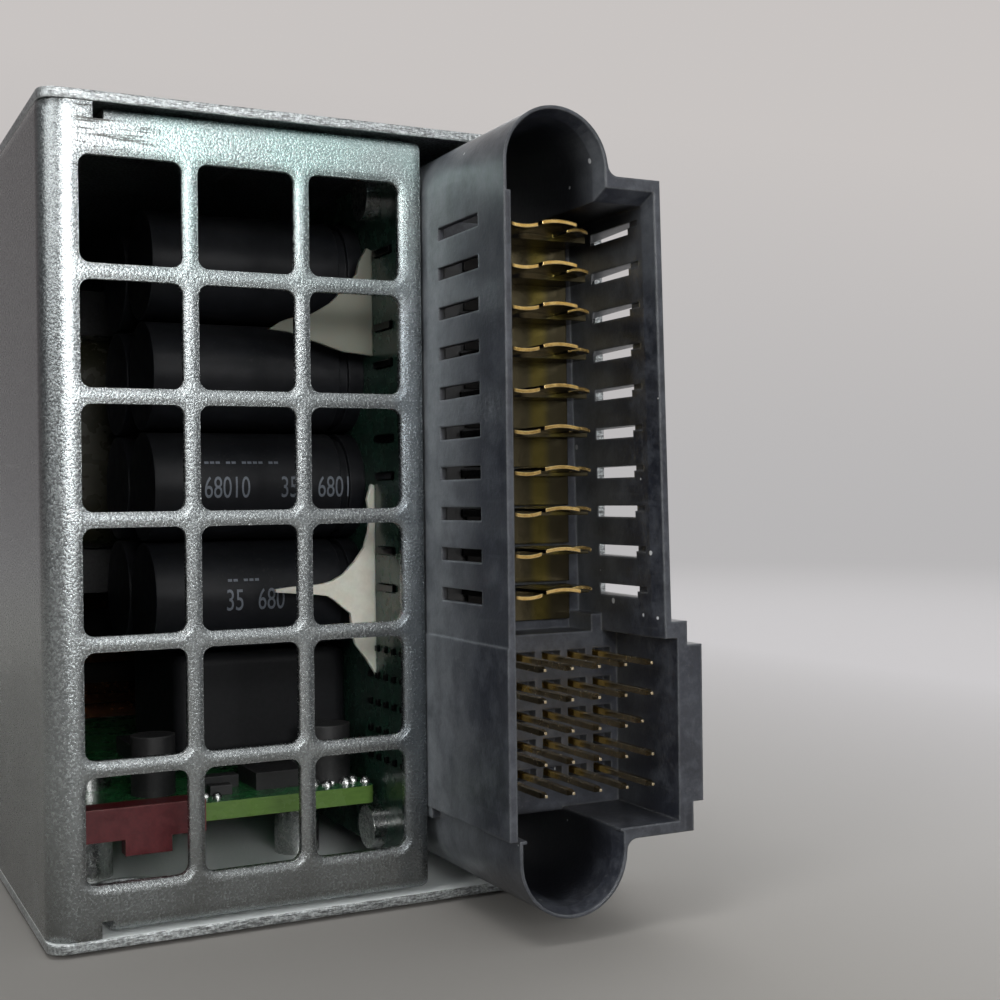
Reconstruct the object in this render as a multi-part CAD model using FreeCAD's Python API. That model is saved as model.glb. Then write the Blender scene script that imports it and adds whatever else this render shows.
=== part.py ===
import FreeCAD, Part
import math
import os

# Hot swap server power supply, in millimetres.
# +X runs across the case, +Y from the connector end to the fan end, +Z up.
# The origin is the middle of the bottom plate's underside.

# ---------------------------------------------------------------- Case
CASE_WIDTH = 51.0
CASE_HEIGHT = 68.4
CASE_LENGTH = 230.0
SHEET = 0.8  # thickness of every sheet-metal piece
SHELL_BEND = 1.6  # outer radius of the shell's long bends
SEAM = 0.08  # gap between two sheets that lie against each other
FOLD = 1.0  # outer radius of short folded edges
PLATE_CORNER = 1.5  # plan radius at the free corners of the top and bottom plates
SPOT_HOLE_R = 4.3  # service hole in the bottom plate
SPOT_COLLAR_H = 0.9
SPOT_FROM_LEFT = 8.3
SPOT_FROM_FRONT = 10.4

# ---------------------------------------------------------------- Side cover and its grille
COVER_BEND = 2.2  # outer radius where the side wall turns into the grille
GRILLE_GAP = 0.25  # between the grille panel's free edge and the connector
GRILLE_INSET = 1.2  # grille panel's top edge below the top of the case
GRILLE_CORNER = 0.7
GRILLE_COLUMNS = 3
GRILLE_ROWS = 6
GRILLE_BAR = 1.25  # metal left between two openings
GRILLE_EDGE_LEFT = 2.92  # metal left of the first column, from the left side
GRILLE_EDGE_RIGHT = 2.0  # metal right of the last column
GRILLE_EDGE_HIGH = 5.04  # above the first row and below the last, to the outside of the case
GRILLE_HOLE_R = 0.9
RELIEF_X = 4.1  # relief notch beside the folded edge, from the left side
RELIEF_W = 0.9
RELIEF_DEPTH = 1.0
FLANGE_BACK = 5.2  # depth of the grille panel's folded edges
TAB_REACH = 8.0
TAB_LENGTH = 12.0
TAB_COUNT = 3
TAB_FIRST = 36.0  # first tab, from the front of the case
TAB_LAST = 34.0  # last tab, from the back of the case

# ---------------------------------------------------------------- Countersunk case screws
SCREW_R = 1.25
SCREW_HEAD_R = 2.45
SCREW_HEAD_H = 1.15
SCREW_LENGTH = 3.2
PANEL_SCREW_INSET = 4.0  # end panel's screws, from the sides of the case
SCREW_CLEAR = 0.05
TAB_SCREW_SHARE = 0.6  # along a tab, from its fold
PANEL_SCREW_SHARE = 0.55  # along the end panel's flange

# ---------------------------------------------------------------- Connector
# Places across the connector and the board run from a line CONNECTOR_ZERO left of the right side.
CONNECTOR_ZERO = 51.0
PROUD = 15.8  # how far the connector stands out of the case
BEHIND = 12.5  # how far it reaches into the case
GUIDE_X = 37.45  # axis of the upper round guide
GUIDE_R = 4.8
LOW_GUIDE_X = 38.4  # the lower guide stands further right
LOW_GUIDE_R = 4.95
GUIDE_DROP = 1.4  # top of the guide body below the top of the case
GUIDE_LOW = 1.7  # its lower end above the underside
GUIDE_DEPTH = 19.0  # depth of the guide cavities from the connector's face
WALL = 0.95  # moulded wall
THIN_WALL = 0.6  # the two long side walls at their rims
LEAD_IN = 1.5  # depth of the sloped rims that guide the mating plug
LEAD_KNIFE = 0.25  # rim left at the round ends
POWER_RIGHT = 47.2  # right wall of the power section, at its top
POWER_SPREAD = 0.75  # how much further right that wall stands at its foot
POWER_FLARE = 1.5  # how much further right it stands where it meets the case
POWER_DROP = 6.6
SIGNAL_HIGH = 23.7  # top of the signal section above the underside
SIGNAL_LOW = 8.4
SIGNAL_LEFT = 32.55
SIGNAL_INNER_RIGHT = 48.5
SIGNAL_TUCK = 0.5  # how far its left wall reaches in beside the grille
COLLAR_RIGHT = 49.45
COLLAR_HIGH = 25.1
RIB_RIGHT = 50.9
RIB_HIGH = 23.1
RIB_LOW = 9.9
SKIRT_RIGHT = 49.9
SKIRT_LOW = 7.45
CORNER_FILL = 0.95  # radius where a guide meets a section
POWER_FLOOR = 13.8  # depth of the power section's floor from the face
FLOOR_T = 3.0
SIGNAL_FLOOR = 9.8  # depth of the signal section's floor from the face
SIGNAL_FLOOR_T = 4.5
POST_LEFT = 45.9  # stop post between the two sections
POST_RIGHT = 47.1
POST_H = 1.5
FRONT_GAP = 0.6  # from the rear of the side rib to the case's front edge

# ---------------------------------------------------------------- Power contacts
CONTACT_COUNT = 10
CONTACT_INSET_HIGH = 3.42  # first contact, below the power section's top
CONTACT_INSET_LOW = 3.72  # last contact, above its foot
CONTACT_T = 0.6
CONTACT_LEFT = 35.2
CONTACT_RIGHT = 45.7
CONTACT_TIP = 4.8  # tips behind the connector's face
FINGER_ROOT = 9.8
FINGER_T = 0.3
# left and right edge, lift above the contact's plane, bow of the arch, set back behind the others
FINGERS = ((35.5, 38.3, 0.0, -0.2, 0.0), (38.7, 42.0, 0.2, 0.2, 0.0), (42.5, 44.6, 0.15, 0.2, 2.6))
WEB_T = 0.4  # web folded down from every contact in front of the floor
WEB_GAP = 0.3
CONTACT_CLEAR = 0.05
TAIL_FRONT = 4.5  # power tails, behind the case front
TAIL_BACK = 8.5
TAIL_REACH = 0.3  # how far tails pass the far side of the board
LEFT_SLOT_START = 4.7  # slots in the connector's left wall, behind its face
LEFT_SLOT_LENGTH = 7.9
LEFT_SLOT_H = 1.1
RIGHT_SLOT_START = 3.65
RIGHT_SLOT_LENGTH = 6.1
RIGHT_SLOT_H = 1.0
RIGHT_SLOT_SLANT = 1.7  # how far its back end runs on for each millimetre of wall
RIGHT_STEP_LENGTH = 1.5
RIGHT_STEP_DEPTH = 0.2
RIGHT_STEP_H = 0.45

# ---------------------------------------------------------------- Signal pins
PIN_COUNT = 5
PIN_PITCH = 2.54
PIN_FIRST_X = 36.35
PIN_FIRST_Z = 21.67
PIN_SIZE = 0.5
PIN_TIP = 0.9  # tips behind the connector's face
PIN_SHORT = 1.5  # the last-mate pin is shorter by this much
SHORT_COLUMN = 4
SHORT_ROW = 2
PIN_TAPER = 0.7
PIN_POINT_SHARE = 0.45  # width left at the very tip
PIN_BEND_FIRST = 3.0  # bend of the first column, behind the case front
PIN_BEND_STEP = 1.9
PIN_CLEAR = 0.04
WINDOW_LEFT = 0.55
WINDOW_RIGHT = 1.3
WINDOW_H = 0.95
WINDOW_DEPTH = 1.2

# ---------------------------------------------------------------- Main board
BOARD_T = 1.6
BOARD_RIGHT = 33.1  # the face that carries the connector
BOARD_START = 1.6  # its front edge, behind the front of the case
BOARD_CORNER = 1.0
BOARD_BACK = 35.4  # its far end, from the back of the case
BOARD_EDGE = 3.0  # board edge to the outside of the case, top and bottom
STANDOFF_R = 2.75
STANDOFF_FRONT = 38.0  # pillars, behind the front of the case
STANDOFF_BACK = 39.5  # and in front of the back of the case
STANDOFF_LOW = 13.0
STANDOFF_DROP = 7.4
BOARD_SCREW_R = 1.5
BOARD_SCREW_HEAD_R = 2.8
BOARD_SCREW_HEAD_H = 1.8
BOARD_SCREW_LENGTH = 8.0
HOLE_CLEAR = 0.1
NEAR = 0.01  # tolerance when edges are picked by place
CONNECTOR_SCREW_R = 1.1
CONNECTOR_SCREW_HEAD_R = 2.0
CONNECTOR_SCREW_HEAD_H = 1.3
CONNECTOR_SCREW_LENGTH = 6.0
CONNECTOR_SCREW_BACK = 9.0
CONNECTOR_SCREW_INSET = 3.4  # from the end of the guide body
FILM_T = 0.4
FILM_EDGE = 4.0

# ---------------------------------------------------------------- Daughter board
LOW_BOARD_HIGH = 9.0  # its upper face above the underside
LOW_BOARD_LEFT = 3.4
LOW_BOARD_GAP = 0.6  # to the main board
LOW_BOARD_START = 8.4
LOW_BOARD_LENGTH = 56.0
POST_R = 2.2
POST_INSET = 3.6
POST_HEAD_R = 2.2
POST_HEAD_H = 1.4
POST_SCREW_LENGTH = 5.0
# chips: place across and along, width and length, as shares of the board's; height in millimetres
CHIPS = (
    (0.618, 0.054, 0.178, 0.107, 1.6), (0.364, 0.357, 0.364, 0.179, 1.8), (0.673, 0.571, 0.178, 0.107, 1.6),
    (0.145, 0.643, 0.116, 0.029, 1.1), (0.458, 0.046, 0.073, 0.023, 0.9), (0.473, 0.107, 0.116, 0.029, 1.1),
)
# small upright cans: place across and along as shares, radius and height in millimetres
SMALL_CANS = ((0.887, 0.082, 2.2, 5.4), (0.305, 0.118, 2.0, 5.4))
GUARD_CLIP_W = 11.2
GUARD_T = 0.6
GUARD_NOSE = 1.0
GUARD_OVERLAP = 1.6
GUARD_WING_T = 0.9
GUARD_WING_BACK = 6.0
GUARD_WING_H = 6.2
GUARD_KEY_X = 4.2
GUARD_KEY_W = 4.0
GUARD_KEY_H = 2.0

# ---------------------------------------------------------------- Output capacitors
CAP_LENGTH = 20.0
CAP_ROWS = 4
CAP_COLUMNS = 2
CAP_INSET = 6.0  # top of the stack below the top of the case
CAP_FOOT = 22.4  # room left under the stack and between the cans
CAP_GAP = 0.2
CAP_FIRST_BACK = 16.6
CAP_COLUMN_PITCH = 10.8
CAP_GROOVE = 0.5
CAP_GROOVE_X = 2.4
CAP_GROOVE_W = 0.9
SPACER_T = 0.5
SPACER_BACK = 9.3  # behind the front of the case
# outline of each fin: reach from the board and drop below the case's top
SPACERS = (
    ((10.07, 17.25), (8.96, 16.52), (8.19, 16.2), (7.18, 16.0), (6.05, 15.7), (5.26, 15.29), (4.12, 14.57),
     (3.59, 14.05), (3.14, 13.52), (2.16, 12.43), (1.53, 11.77), (1.25, 10.59), (0.51, 9.29), (0.0, 9.5),
     (0.0, 19.35), (1.54, 19.19), (2.86, 19.07), (3.91, 18.78), (5.04, 18.4), (6.08, 18.1), (7.2, 17.76),
     (8.12, 17.45), (9.05, 17.35)),
    ((0.3, 31.36), (0.0, 31.5), (0.0, 49.3), (0.42, 48.62), (0.98, 47.74), (2.05, 46.32), (2.37, 44.95),
     (2.49, 43.42), (3.32, 42.77), (4.03, 42.17), (4.73, 41.7), (6.03, 41.5), (7.95, 41.34), (9.68, 41.16),
     (9.68, 40.88), (7.94, 40.7), (6.02, 40.62), (5.2, 40.55), (4.24, 40.31), (3.17, 39.73), (2.07, 38.64),
     (1.09, 37.31), (0.6, 35.73), (0.5, 34.36), (0.72, 32.77)),
)
INDUCTOR_W = 17.0
INDUCTOR_L = 18.0
INDUCTOR_H = 10.0
INDUCTOR_GAP = 0.6
INDUCTOR_ROUND = 1.2

# ---------------------------------------------------------------- Power parts
BULK_ROOM = 2.7  # between the can and the side cover
BULK_LENGTH = 45.0
BULK_BACK = 84.0
BULK_INSET = 5.0  # can's top below the top of the case
BULK_ROUND = 1.0
BULK_GROOVE = 0.7
BULK_GROOVE_Y = 3.0
BULK_GROOVE_W = 1.2
CORE_HEIGHT = 34.0
CORE_DEPTH = 18.0
CORE_ROOM = 6.0  # between the core and the side cover's outside
CORE_LEG = 10.0
CORE_WALL = 5.0
CORE_ROUND = 0.8
BOBBIN_T = 3.5
BOBBIN_CHANNEL = 3.0
TRANSFORMER_BACK = 58.0
TRANSFORMER_DROP = 26.0
WINDING_BULGE = 14.8
WINDING_ROUND = 5.0
CHOKE_LOW = 3.9  # wound ring's lower edge above the underside
CHOKE_GAP = 1.5  # to the bulk capacitor over it
CHOKE_BORE_SHARE = 7 / 15
CHOKE_WIRE_SHARE = 1 / 15
CHOKE_H = 13.0
CHOKE_BACK = 101.0
CHOKE_TURNS = 12
CHOKE_ARC = (20, 340)  # degrees of the ring that carry wire
RING_ROUND = 1.6
WIRE_GAP = 0.15  # between a winding and its ring
EMI_R = 11.5
EMI_BORE = 5.6
EMI_H = 10.0
EMI_BACK = 151.0
EMI_Z = 19.4
EMI_TURNS = 5
EMI_ARCS = ((-55, 55), (125, 235))
EMI_WIRE_R = 0.8
SINK_BACK = 134.0
SINK_LENGTH = 52.0
SINK_ROOM = 6.5  # between the sink and the side cover's outside
SINK_BASE = 3.0
SINK_FIN_T = 1.2
SINK_FIN_H = 13.0
SINK_FINS = 6
SINK_DROP = 20.0
DEVICE_T = 4.8
DEVICE_W = 15.6
DEVICE_L = 20.0
DEVICE_PITCH = 17.5
DEVICE_COUNT = 3
DEVICE_LEAD = 0.8
DEVICE_LEAD_PITCH = 5.4
DEVICE_LEAD_LOW = 1.8
DEVICE_STAND = 3.5  # body to board
DEVICE_HEAD_R = 2.4
DEVICE_HEAD_H = 1.5
FILTER_W = 15.0
FILTER_L = 8.0
FILTER_BACK = 166.0
FILTER_ROUND = 0.8
TALL_LOW = 6.0  # foot of the tall parts above the underside
TALL_HIGH = 34.0
FILTER_HIGH = 32.0
BRIDGE_W = 18.0
BRIDGE_T = 3.8
BRIDGE_BACK = 128.6
BRIDGE_STAND = 4.0
BRIDGE_LEADS = (9.0, 16.5, 24.0, 31.0)
BRIDGE_LEAD_T = 1.0
BRIDGE_LEAD_W = 1.2
RELAY_W = 18.0
RELAY_L = 10.5
RELAY_BACK = 175.5
RELAY_ROUND = 0.6
FUSE_LENGTH = 20.0
FUSE_STAND = 5.0  # axis to board
FUSE_BACK = 191.0
FUSE_R = 2.6
FUSE_CAP_R = 3.0
FUSE_CAP_L = 4.0
FUSE_LEAD = 1.0
FUSE_GAP = 0.2  # to the board screw's head above it
SIDE_SINK_BACK = 10.0  # behind the connector
SIDE_SINK_LENGTH = 52.0
SIDE_SINK_LOW = 40.0
SIDE_SINK_H = 12.0
SIDE_SINK_REACH = 12.0
SIDE_SINK_T = 2.0
SIDE_SINK_ROUND = 1.5
RECTIFIER_COUNT = 4
RECTIFIER_BACK = 13.0
RECTIFIER_PITCH = 12.0
RECTIFIER_LENGTH = 10.0
RECTIFIER_W = 11.0
RECTIFIER_STAND = 0.4
RECTIFIER_H = 4.6
RECTIFIER_LEAD = 4.0
RECTIFIER_LEAD_T = 1.0
BAR_HEIGHTS = (18.0, 27.0)
BAR_T = 1.2
BAR_H = 6.0
BAR_LENGTH = 62.0
BAR_FOOT = 9.0
BAR_BACK = 1.0

# ---------------------------------------------------------------- Fan
FAN_SIDE_ROOM = 5.5  # from the fan to each outside of the case
FAN_DEPTH = 28.0
FAN_CORNER = 2.5
FAN_PITCH_SHARE = 0.8  # screw pitch, and the radii below, as shares of the fan's side
FAN_BORE_SHARE = 0.48
HUB_SHARE = 0.255
GUARD_SHARES = (0.15, 0.2875, 0.425)
PANEL_HOLE_SHARE = 0.47
FAN_HOLE_R = 1.7
FAN_FLANGE_T = 4.0
FAN_DROP = 3.2  # top of the fan below the top of the case
HUB_WALL = 1.0
HUB_LENGTH = 20.0
HUB_ROUND = 1.5
BLADES = 7
BLADE_T = 0.9
BLADE_GAP = 0.6
BLADE_TWIST = 32.0
SHAFT_R = 1.5
SHAFT_CLEAR = 0.06
SHAFT_END = 1.5  # how far the shaft reaches into the bearing seat
BEARING_WALL = 1.5
BLADE_START = 1.0
BLADE_END = 2.0
BLADE_CURL = 0.35
STRUT_W = 2.4
STRUTS = 4
MOTOR_BASE_T = 3.0
STATOR_GAP = 0.5
STATOR_SHORT = 4.0
STATOR_SLOTS = 4
STATOR_SLOT_SHARE = 0.72
STATOR_SLOT_W = 1.6
GUARD_WIRE_R = 0.8
FAN_SCREW_R = 1.5
FAN_SCREW_HEAD_R = 2.7
FAN_SCREW_HEAD_H = 1.7
FAN_SCREW_LENGTH = 10.0

# ---------------------------------------------------------------- End panel
PANEL_FLANGE = 9.0
PANEL_ROUND = 0.9

# ---------------------------------------------------------------- AC inlet
INLET_X = 19.5  # centre of the inlet, from the left side
INLET_LOW = 1.7  # flange's lower edge above the underside
INLET_FAN_GAP = 1.3  # flange's upper edge below the fan
INLET_FLANGE_W = 30.5
INLET_FLANGE_T = 2.0
INLET_FLANGE_ROUND = 2.0
INLET_BODY_W = 26.8
INLET_BODY_LESS = 2.6  # body lower than the flange by this much
INLET_BODY_DEPTH = 24.0
INLET_BODY_ROUND = 1.0
INLET_WELL_W = 24.4
INLET_WELL_LESS = 5.6
INLET_WELL_DEPTH = 18.5
INLET_WELL_ROUND = 0.8
INLET_CHAMFER = 4.8
INLET_PIN_W = 4.0
INLET_PIN_T = 2.0
INLET_PIN_REACH = 15.0
INLET_PIN_TAIL = 7.0
INLET_PIN_SPREAD = 7.0
INLET_EARTH_RISE = 2.0

# ---------------------------------------------------------------- Pull handle
HANDLE_DROP = 8.0  # pivot below the top of the case
HANDLE_OUT = 6.4  # pivot behind the end panel
HANDLE_WIRE_R = 1.5
HANDLE_SIDE = 6.8  # legs, from the sides of the case
HANDLE_LEG = 28.0  # pivot to the middle of the grip
HANDLE_BEND = 5.0
HANDLE_END = 0.6  # how far its ends pass the brackets
GRIP_R = 3.9
GRIP_CLEAR = 0.7  # grip's ends to the bends
GRIP_ROUND = 0.8
GRIP_WAISTS = 5
GRIP_WAIST_W = 1.6
GRIP_WAIST_DEPTH = 0.45
GRIP_END = 4.0
LUG_T = 1.2
LUG_GAP = 0.3
LUG_R = 3.4
LUG_ROUND = 2.72
LUG_FOOT_W = 3.8
LUG_FOOT_H = 12.0
LUG_HOLE_CLEAR = 0.06
LUG_RIVET_R = 0.8
RIVET_HEAD_R = 1.1
RIVET_CROWN_R = 0.66
RIVET_TAIL_R = 0.92
RIVET_HEAD_H = 0.7

# ---------------------------------------------------------------- Latch
LATCH_SIDE = 4.8  # pivot, from the right side
LATCH_FORWARD = 24.0  # pivot in front of the end panel
LATCH_ARM_T = 3.0
LATCH_ARM_LOW = 5.0
LATCH_ARM_H = 8.0
LATCH_BOSS_R = 3.2
LATCH_BOSS_LOW = 2.4
LATCH_BOSS_H = 12.0
LATCH_HOOK_OUT = 1.6
LATCH_HOOK_FRONT = 11.5  # hook's front, in front of the end panel
LATCH_HOOK_L = 6.5
LATCH_SLOT_AHEAD = 4.0  # room in front of the hook, for its ramp
LATCH_SLOT_BEHIND = 1.3  # room behind the hook, which moves back as it swings in
LATCH_SLOT_CLEAR = 0.5
LATCH_TAB_OUT = 10.0
LATCH_TAB_W = 5.0
LATCH_TRAVEL = 9.0  # degrees
LATCH_PIN_R = 1.2
LATCH_PIN_CLEAR = 0.06
LATCH_PIN_FIT = 0.02
LATCH_PIN_HEAD = 0.7
LATCH_LEAF = 1.0
LATCH_LEAF_GAP = 0.3
LATCH_BRACKET_SIDE = 0.6
LATCH_BRACKET_BEND = 1.3
LATCH_BRACKET_ROOM = 1.2
LATCH_RAMP = 4.0  # length of the slope in front of the hook
LATCH_HOOK_FLAT = 2.4
LATCH_TAB_GAP = 0.6
LATCH_TAB_ROUND = 1.2
LATCH_GROOVES = 3
LATCH_GROOVE_FIRST = 3.2
LATCH_GROOVE_PITCH = 1.7
LATCH_GROOVE_W = 0.7
LATCH_GROOVE_DEPTH = 0.5
SPRING_WIRE_R = 0.35
SPRING_COIL_R = 2.1
SPRING_TURNS = 3
SPRING_OVERLAP = 0.06
SPRING_DOWN = 2.6  # lowest coil below the boss's top
SPRING_LEG = 0.9
SPRING_SEAT_H = 3.0
LIGHT_SIDE = 9.0  # from the right side
LIGHT_DROP = 4.8  # below the fan
LIGHT_R = 1.5
LIGHT_LENGTH = 14.0
LIGHT_PROUD = 0.8

# ---------------------------------------------------------------- Planes that follow from the sizes
LEFT = -CASE_WIDTH / 2
RIGHT = CASE_WIDTH / 2
FRONT = -CASE_LENGTH / 2
REAR = CASE_LENGTH / 2
TOP = CASE_HEIGHT
FACE = FRONT - PROUD  # the connector's front face
COVER_LOW = SHEET + SEAM  # bottom and top edges of what slides between the plates
COVER_HIGH = TOP - SHEET - SEAM
SIDE = RIGHT - CONNECTOR_ZERO
BOARD_X1 = SIDE + BOARD_RIGHT
BOARD_X0 = BOARD_X1 - BOARD_T
BOARD_Y0 = FRONT + BOARD_START
BOARD_Y1 = REAR - BOARD_BACK
WALL_X = RIGHT - SHEET  # inner face of the shell's right wall
GUIDE_HIGH = TOP - GUIDE_DROP
GUIDE_LEFT = SIDE + GUIDE_X - GUIDE_R
POWER_HIGH = TOP - POWER_DROP
CONTACT_PITCH = (POWER_HIGH - CONTACT_INSET_HIGH - SIGNAL_HIGH - CONTACT_INSET_LOW) / (CONTACT_COUNT - 1)
GRILLE_X1 = GUIDE_LEFT - GRILLE_GAP
GRILLE_X0 = LEFT + GRILLE_EDGE_LEFT
GRILLE_HOLE_W = (GRILLE_X1 - GRILLE_EDGE_RIGHT - GRILLE_X0 + GRILLE_BAR) / GRILLE_COLUMNS - GRILLE_BAR
GRILLE_HOLE_H = (TOP - 2 * GRILLE_EDGE_HIGH + GRILLE_BAR) / GRILLE_ROWS - GRILLE_BAR
LOW_BOARD_X0 = LEFT + LOW_BOARD_LEFT
LOW_BOARD_X1 = BOARD_X0 - LOW_BOARD_GAP
CAP_R = (TOP - CAP_INSET - CAP_FOOT) / (2 * CAP_ROWS)
CAP_PITCH = 2 * CAP_R + CAP_GAP
BULK_R = (BOARD_X0 - LEFT - SHEET - BULK_ROOM) / 2
CHOKE_R = (TOP - BULK_INSET - 2 * BULK_R - CHOKE_GAP - CHOKE_LOW) / 2
WIRE_R = CHOKE_R * CHOKE_WIRE_SHARE
CORE_REACH = BOARD_X0 - LEFT - BOBBIN_T - CORE_ROOM
SINK_REACH = BOARD_X0 - LEFT - SINK_ROOM
FAN_SIZE = CASE_WIDTH - 2 * FAN_SIDE_ROOM
FAN_LOW = TOP - FAN_DROP - FAN_SIZE
FAN_Z = FAN_LOW + FAN_SIZE / 2
FAN_BORE_R = FAN_SIZE * FAN_BORE_SHARE
HUB_R = FAN_SIZE * HUB_SHARE
FAN_BACK = REAR - SHEET  # the fan's outlet face lies against the end panel
INLET_FLANGE_H = FAN_LOW - INLET_FAN_GAP - INLET_LOW
INLET_Z = INLET_LOW + INLET_FLANGE_H / 2
INLET_BODY_H = INLET_FLANGE_H - INLET_BODY_LESS
INLET_WELL_H = INLET_FLANGE_H - INLET_WELL_LESS
LIGHT_Z = FAN_LOW - LIGHT_DROP
HANDLE_LEG_X = CASE_WIDTH / 2 - HANDLE_SIDE
GRIP_LENGTH = 2 * (HANDLE_LEG_X - HANDLE_BEND - GRIP_CLEAR)


# ---------------------------------------------------------------- Shape helpers
def vec(x, y, z):
    return FreeCAD.Vector(x, y, z)


ALONG_X = vec(1, 0, 0)
ALONG_Y = vec(0, 1, 0)
ALONG_Z = vec(0, 0, 1)


def box(x0, x1, y0, y1, z0, z1):
    return Part.makeBox(x1 - x0, y1 - y0, z1 - z0, vec(x0, y0, z0))


def rod(start, axis, radius, length):
    return Part.makeCylinder(radius, length, start, axis)


def tube(start, axis, radius, bore, length):
    return rod(start, axis, radius, length).cut(rod(start, axis, bore, length))


def fuse(shapes):
    """Join touching or overlapping shapes into one clean solid."""
    first = shapes[0]
    return first.fuse(shapes[1:]).removeSplitter()


def group(shapes):
    return Part.makeCompound(shapes)


def on_plane(plane, across, up, off):
    """A point of a flat outline that stands at off along the plane's normal."""
    if plane == "XY":
        return vec(across, up, off)
    if plane == "XZ":
        return vec(across, off, up)
    return vec(off, across, up)


def slab(plane, points, start, end, radii=0.0):
    """A flat outline with rounded corners, pushed from start to end."""
    count = len(points)
    if not isinstance(radii, (list, tuple)):
        radii = [radii] * count
    spots = [on_plane(plane, a, b, start) for a, b in points]
    joints = []
    for i, spot in enumerate(spots):
        to_last = spots[i - 1].sub(spot)
        to_next = spots[(i + 1) % count].sub(spot)
        if radii[i] <= 0:
            joints.append((spot, None, spot))
            continue
        to_last.normalize()
        to_next.normalize()
        half = to_last.getAngle(to_next) / 2
        back = radii[i] / math.tan(half)
        middle = to_last.add(to_next)
        middle.normalize()
        centre = spot.add(middle * (radii[i] / math.sin(half)))
        joints.append((spot.add(to_last * back), centre.sub(middle * radii[i]), spot.add(to_next * back)))
    edges = []
    for i, (enter, top, leave) in enumerate(joints):
        if top is not None:
            edges.append(Part.Arc(enter, top, leave).toShape())
        following = joints[(i + 1) % count][0]
        if leave.distanceToPoint(following) > 1e-6:
            edges.append(Part.makeLine(leave, following))
    face = Part.Face(Part.Wire(edges))
    return face.extrude(on_plane(plane, 0, 0, end - start))


def rectangle(a0, a1, b0, b1):
    return [(a0, b0), (a1, b0), (a1, b1), (a0, b1)]


def mirrored(shape):
    """The same shape at the other end of the case's height."""
    return shape.mirror(vec(0, 0, CASE_HEIGHT / 2), ALONG_Z)


def other_side(shape):
    return shape.mirror(vec(0, 0, 0), ALONG_X)


def round_edges(shape, radius, test):
    """Round the straight edges whose middle passes the test."""
    chosen = [edge for edge in shape.Edges if test(edge.CenterOfMass, edge)]
    return shape.makeFillet(radius, chosen)


def is_along(edge, axis):
    first = edge.Vertexes[0].Point
    last = edge.Vertexes[-1].Point
    span = last.sub(first)
    return span.Length > 1e-6 and abs(abs(span.dot(axis)) - span.Length) < 1e-6


def pan_screw(seat, axis, radius, head_r, head_h, length):
    """Head above the seat, shank below it; axis points out of the head."""
    head = rod(seat, axis, head_r, head_h)
    shank = rod(seat.sub(axis * length), axis, radius, length)
    return fuse([head, shank])


# ---------------------------------------------------------------- Case screws
def countersunk(seat, outward, clear=0.0):
    """A flat-head screw whose head lies flush with seat."""
    inward = outward * -1
    cone = Part.makeCone(SCREW_HEAD_R + clear, SCREW_R + clear, SCREW_HEAD_H, seat, inward)
    return fuse([cone, rod(seat, inward, SCREW_R + clear, SCREW_LENGTH)])


def tab_middles():
    step = (CASE_LENGTH - TAB_LAST - TAB_FIRST) / (TAB_COUNT - 1)
    return [FRONT + TAB_FIRST + step * i for i in range(TAB_COUNT)]


def cover_screw_seats():
    x = LEFT + TAB_REACH * TAB_SCREW_SHARE
    return [vec(x, y, TOP) for y in tab_middles()]


def panel_screw_seats():
    y = REAR - SHEET - (PANEL_FLANGE - SHEET) * PANEL_SCREW_SHARE
    return [vec(LEFT + PANEL_SCREW_INSET, y, TOP), vec(RIGHT - PANEL_SCREW_INSET, y, TOP)]


def screws_at(seats, clear=0.0):
    upper = [countersunk(seat, ALONG_Z, clear) for seat in seats]
    return upper + [mirrored(screw) for screw in upper]


# ---------------------------------------------------------------- Enclosure
def outer_shell():
    """Bottom plate, right wall and top plate, folded from one sheet."""
    inner = SHELL_BEND - SHEET
    section = [
        (LEFT, TOP), (RIGHT, TOP), (RIGHT, 0), (LEFT, 0),
        (LEFT, SHEET), (WALL_X, SHEET), (WALL_X, TOP - SHEET), (LEFT, TOP - SHEET),
    ]
    radii = [0, SHELL_BEND, SHELL_BEND, 0, 0, inner, inner, 0]
    shell = slab("XZ", section, FRONT, REAR, radii)
    shell = round_edges(shell, PLATE_CORNER, lambda c, e: abs(c.x - LEFT) < NEAR and is_along(e, ALONG_Z))
    spot = vec(LEFT + SPOT_FROM_LEFT, FRONT + SPOT_FROM_FRONT, 0)
    shell = fuse([shell, rod(spot, ALONG_Z, SPOT_HOLE_R + SHEET / 2, SHEET + SPOT_COLLAR_H)])
    cuts = [rod(spot, ALONG_Z, SPOT_HOLE_R, SHEET + SPOT_COLLAR_H)]
    cuts += screws_at(cover_screw_seats() + panel_screw_seats(), SCREW_CLEAR)
    cuts.append(latch_wall_slot())
    return shell.cut(cuts)


def folded_edge(plane, base, reach, level, drop):
    """Section of a short right-angle fold: down from level, and reach deep."""
    inner = FOLD - SHEET
    points = [
        (base, level - drop), (base, level), (base + reach, level),
        (base + reach, level - SHEET), (base + SHEET, level - SHEET), (base + SHEET, level - drop),
    ]
    return plane, points, [0, FOLD, 0, 0, inner, 0]


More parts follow.
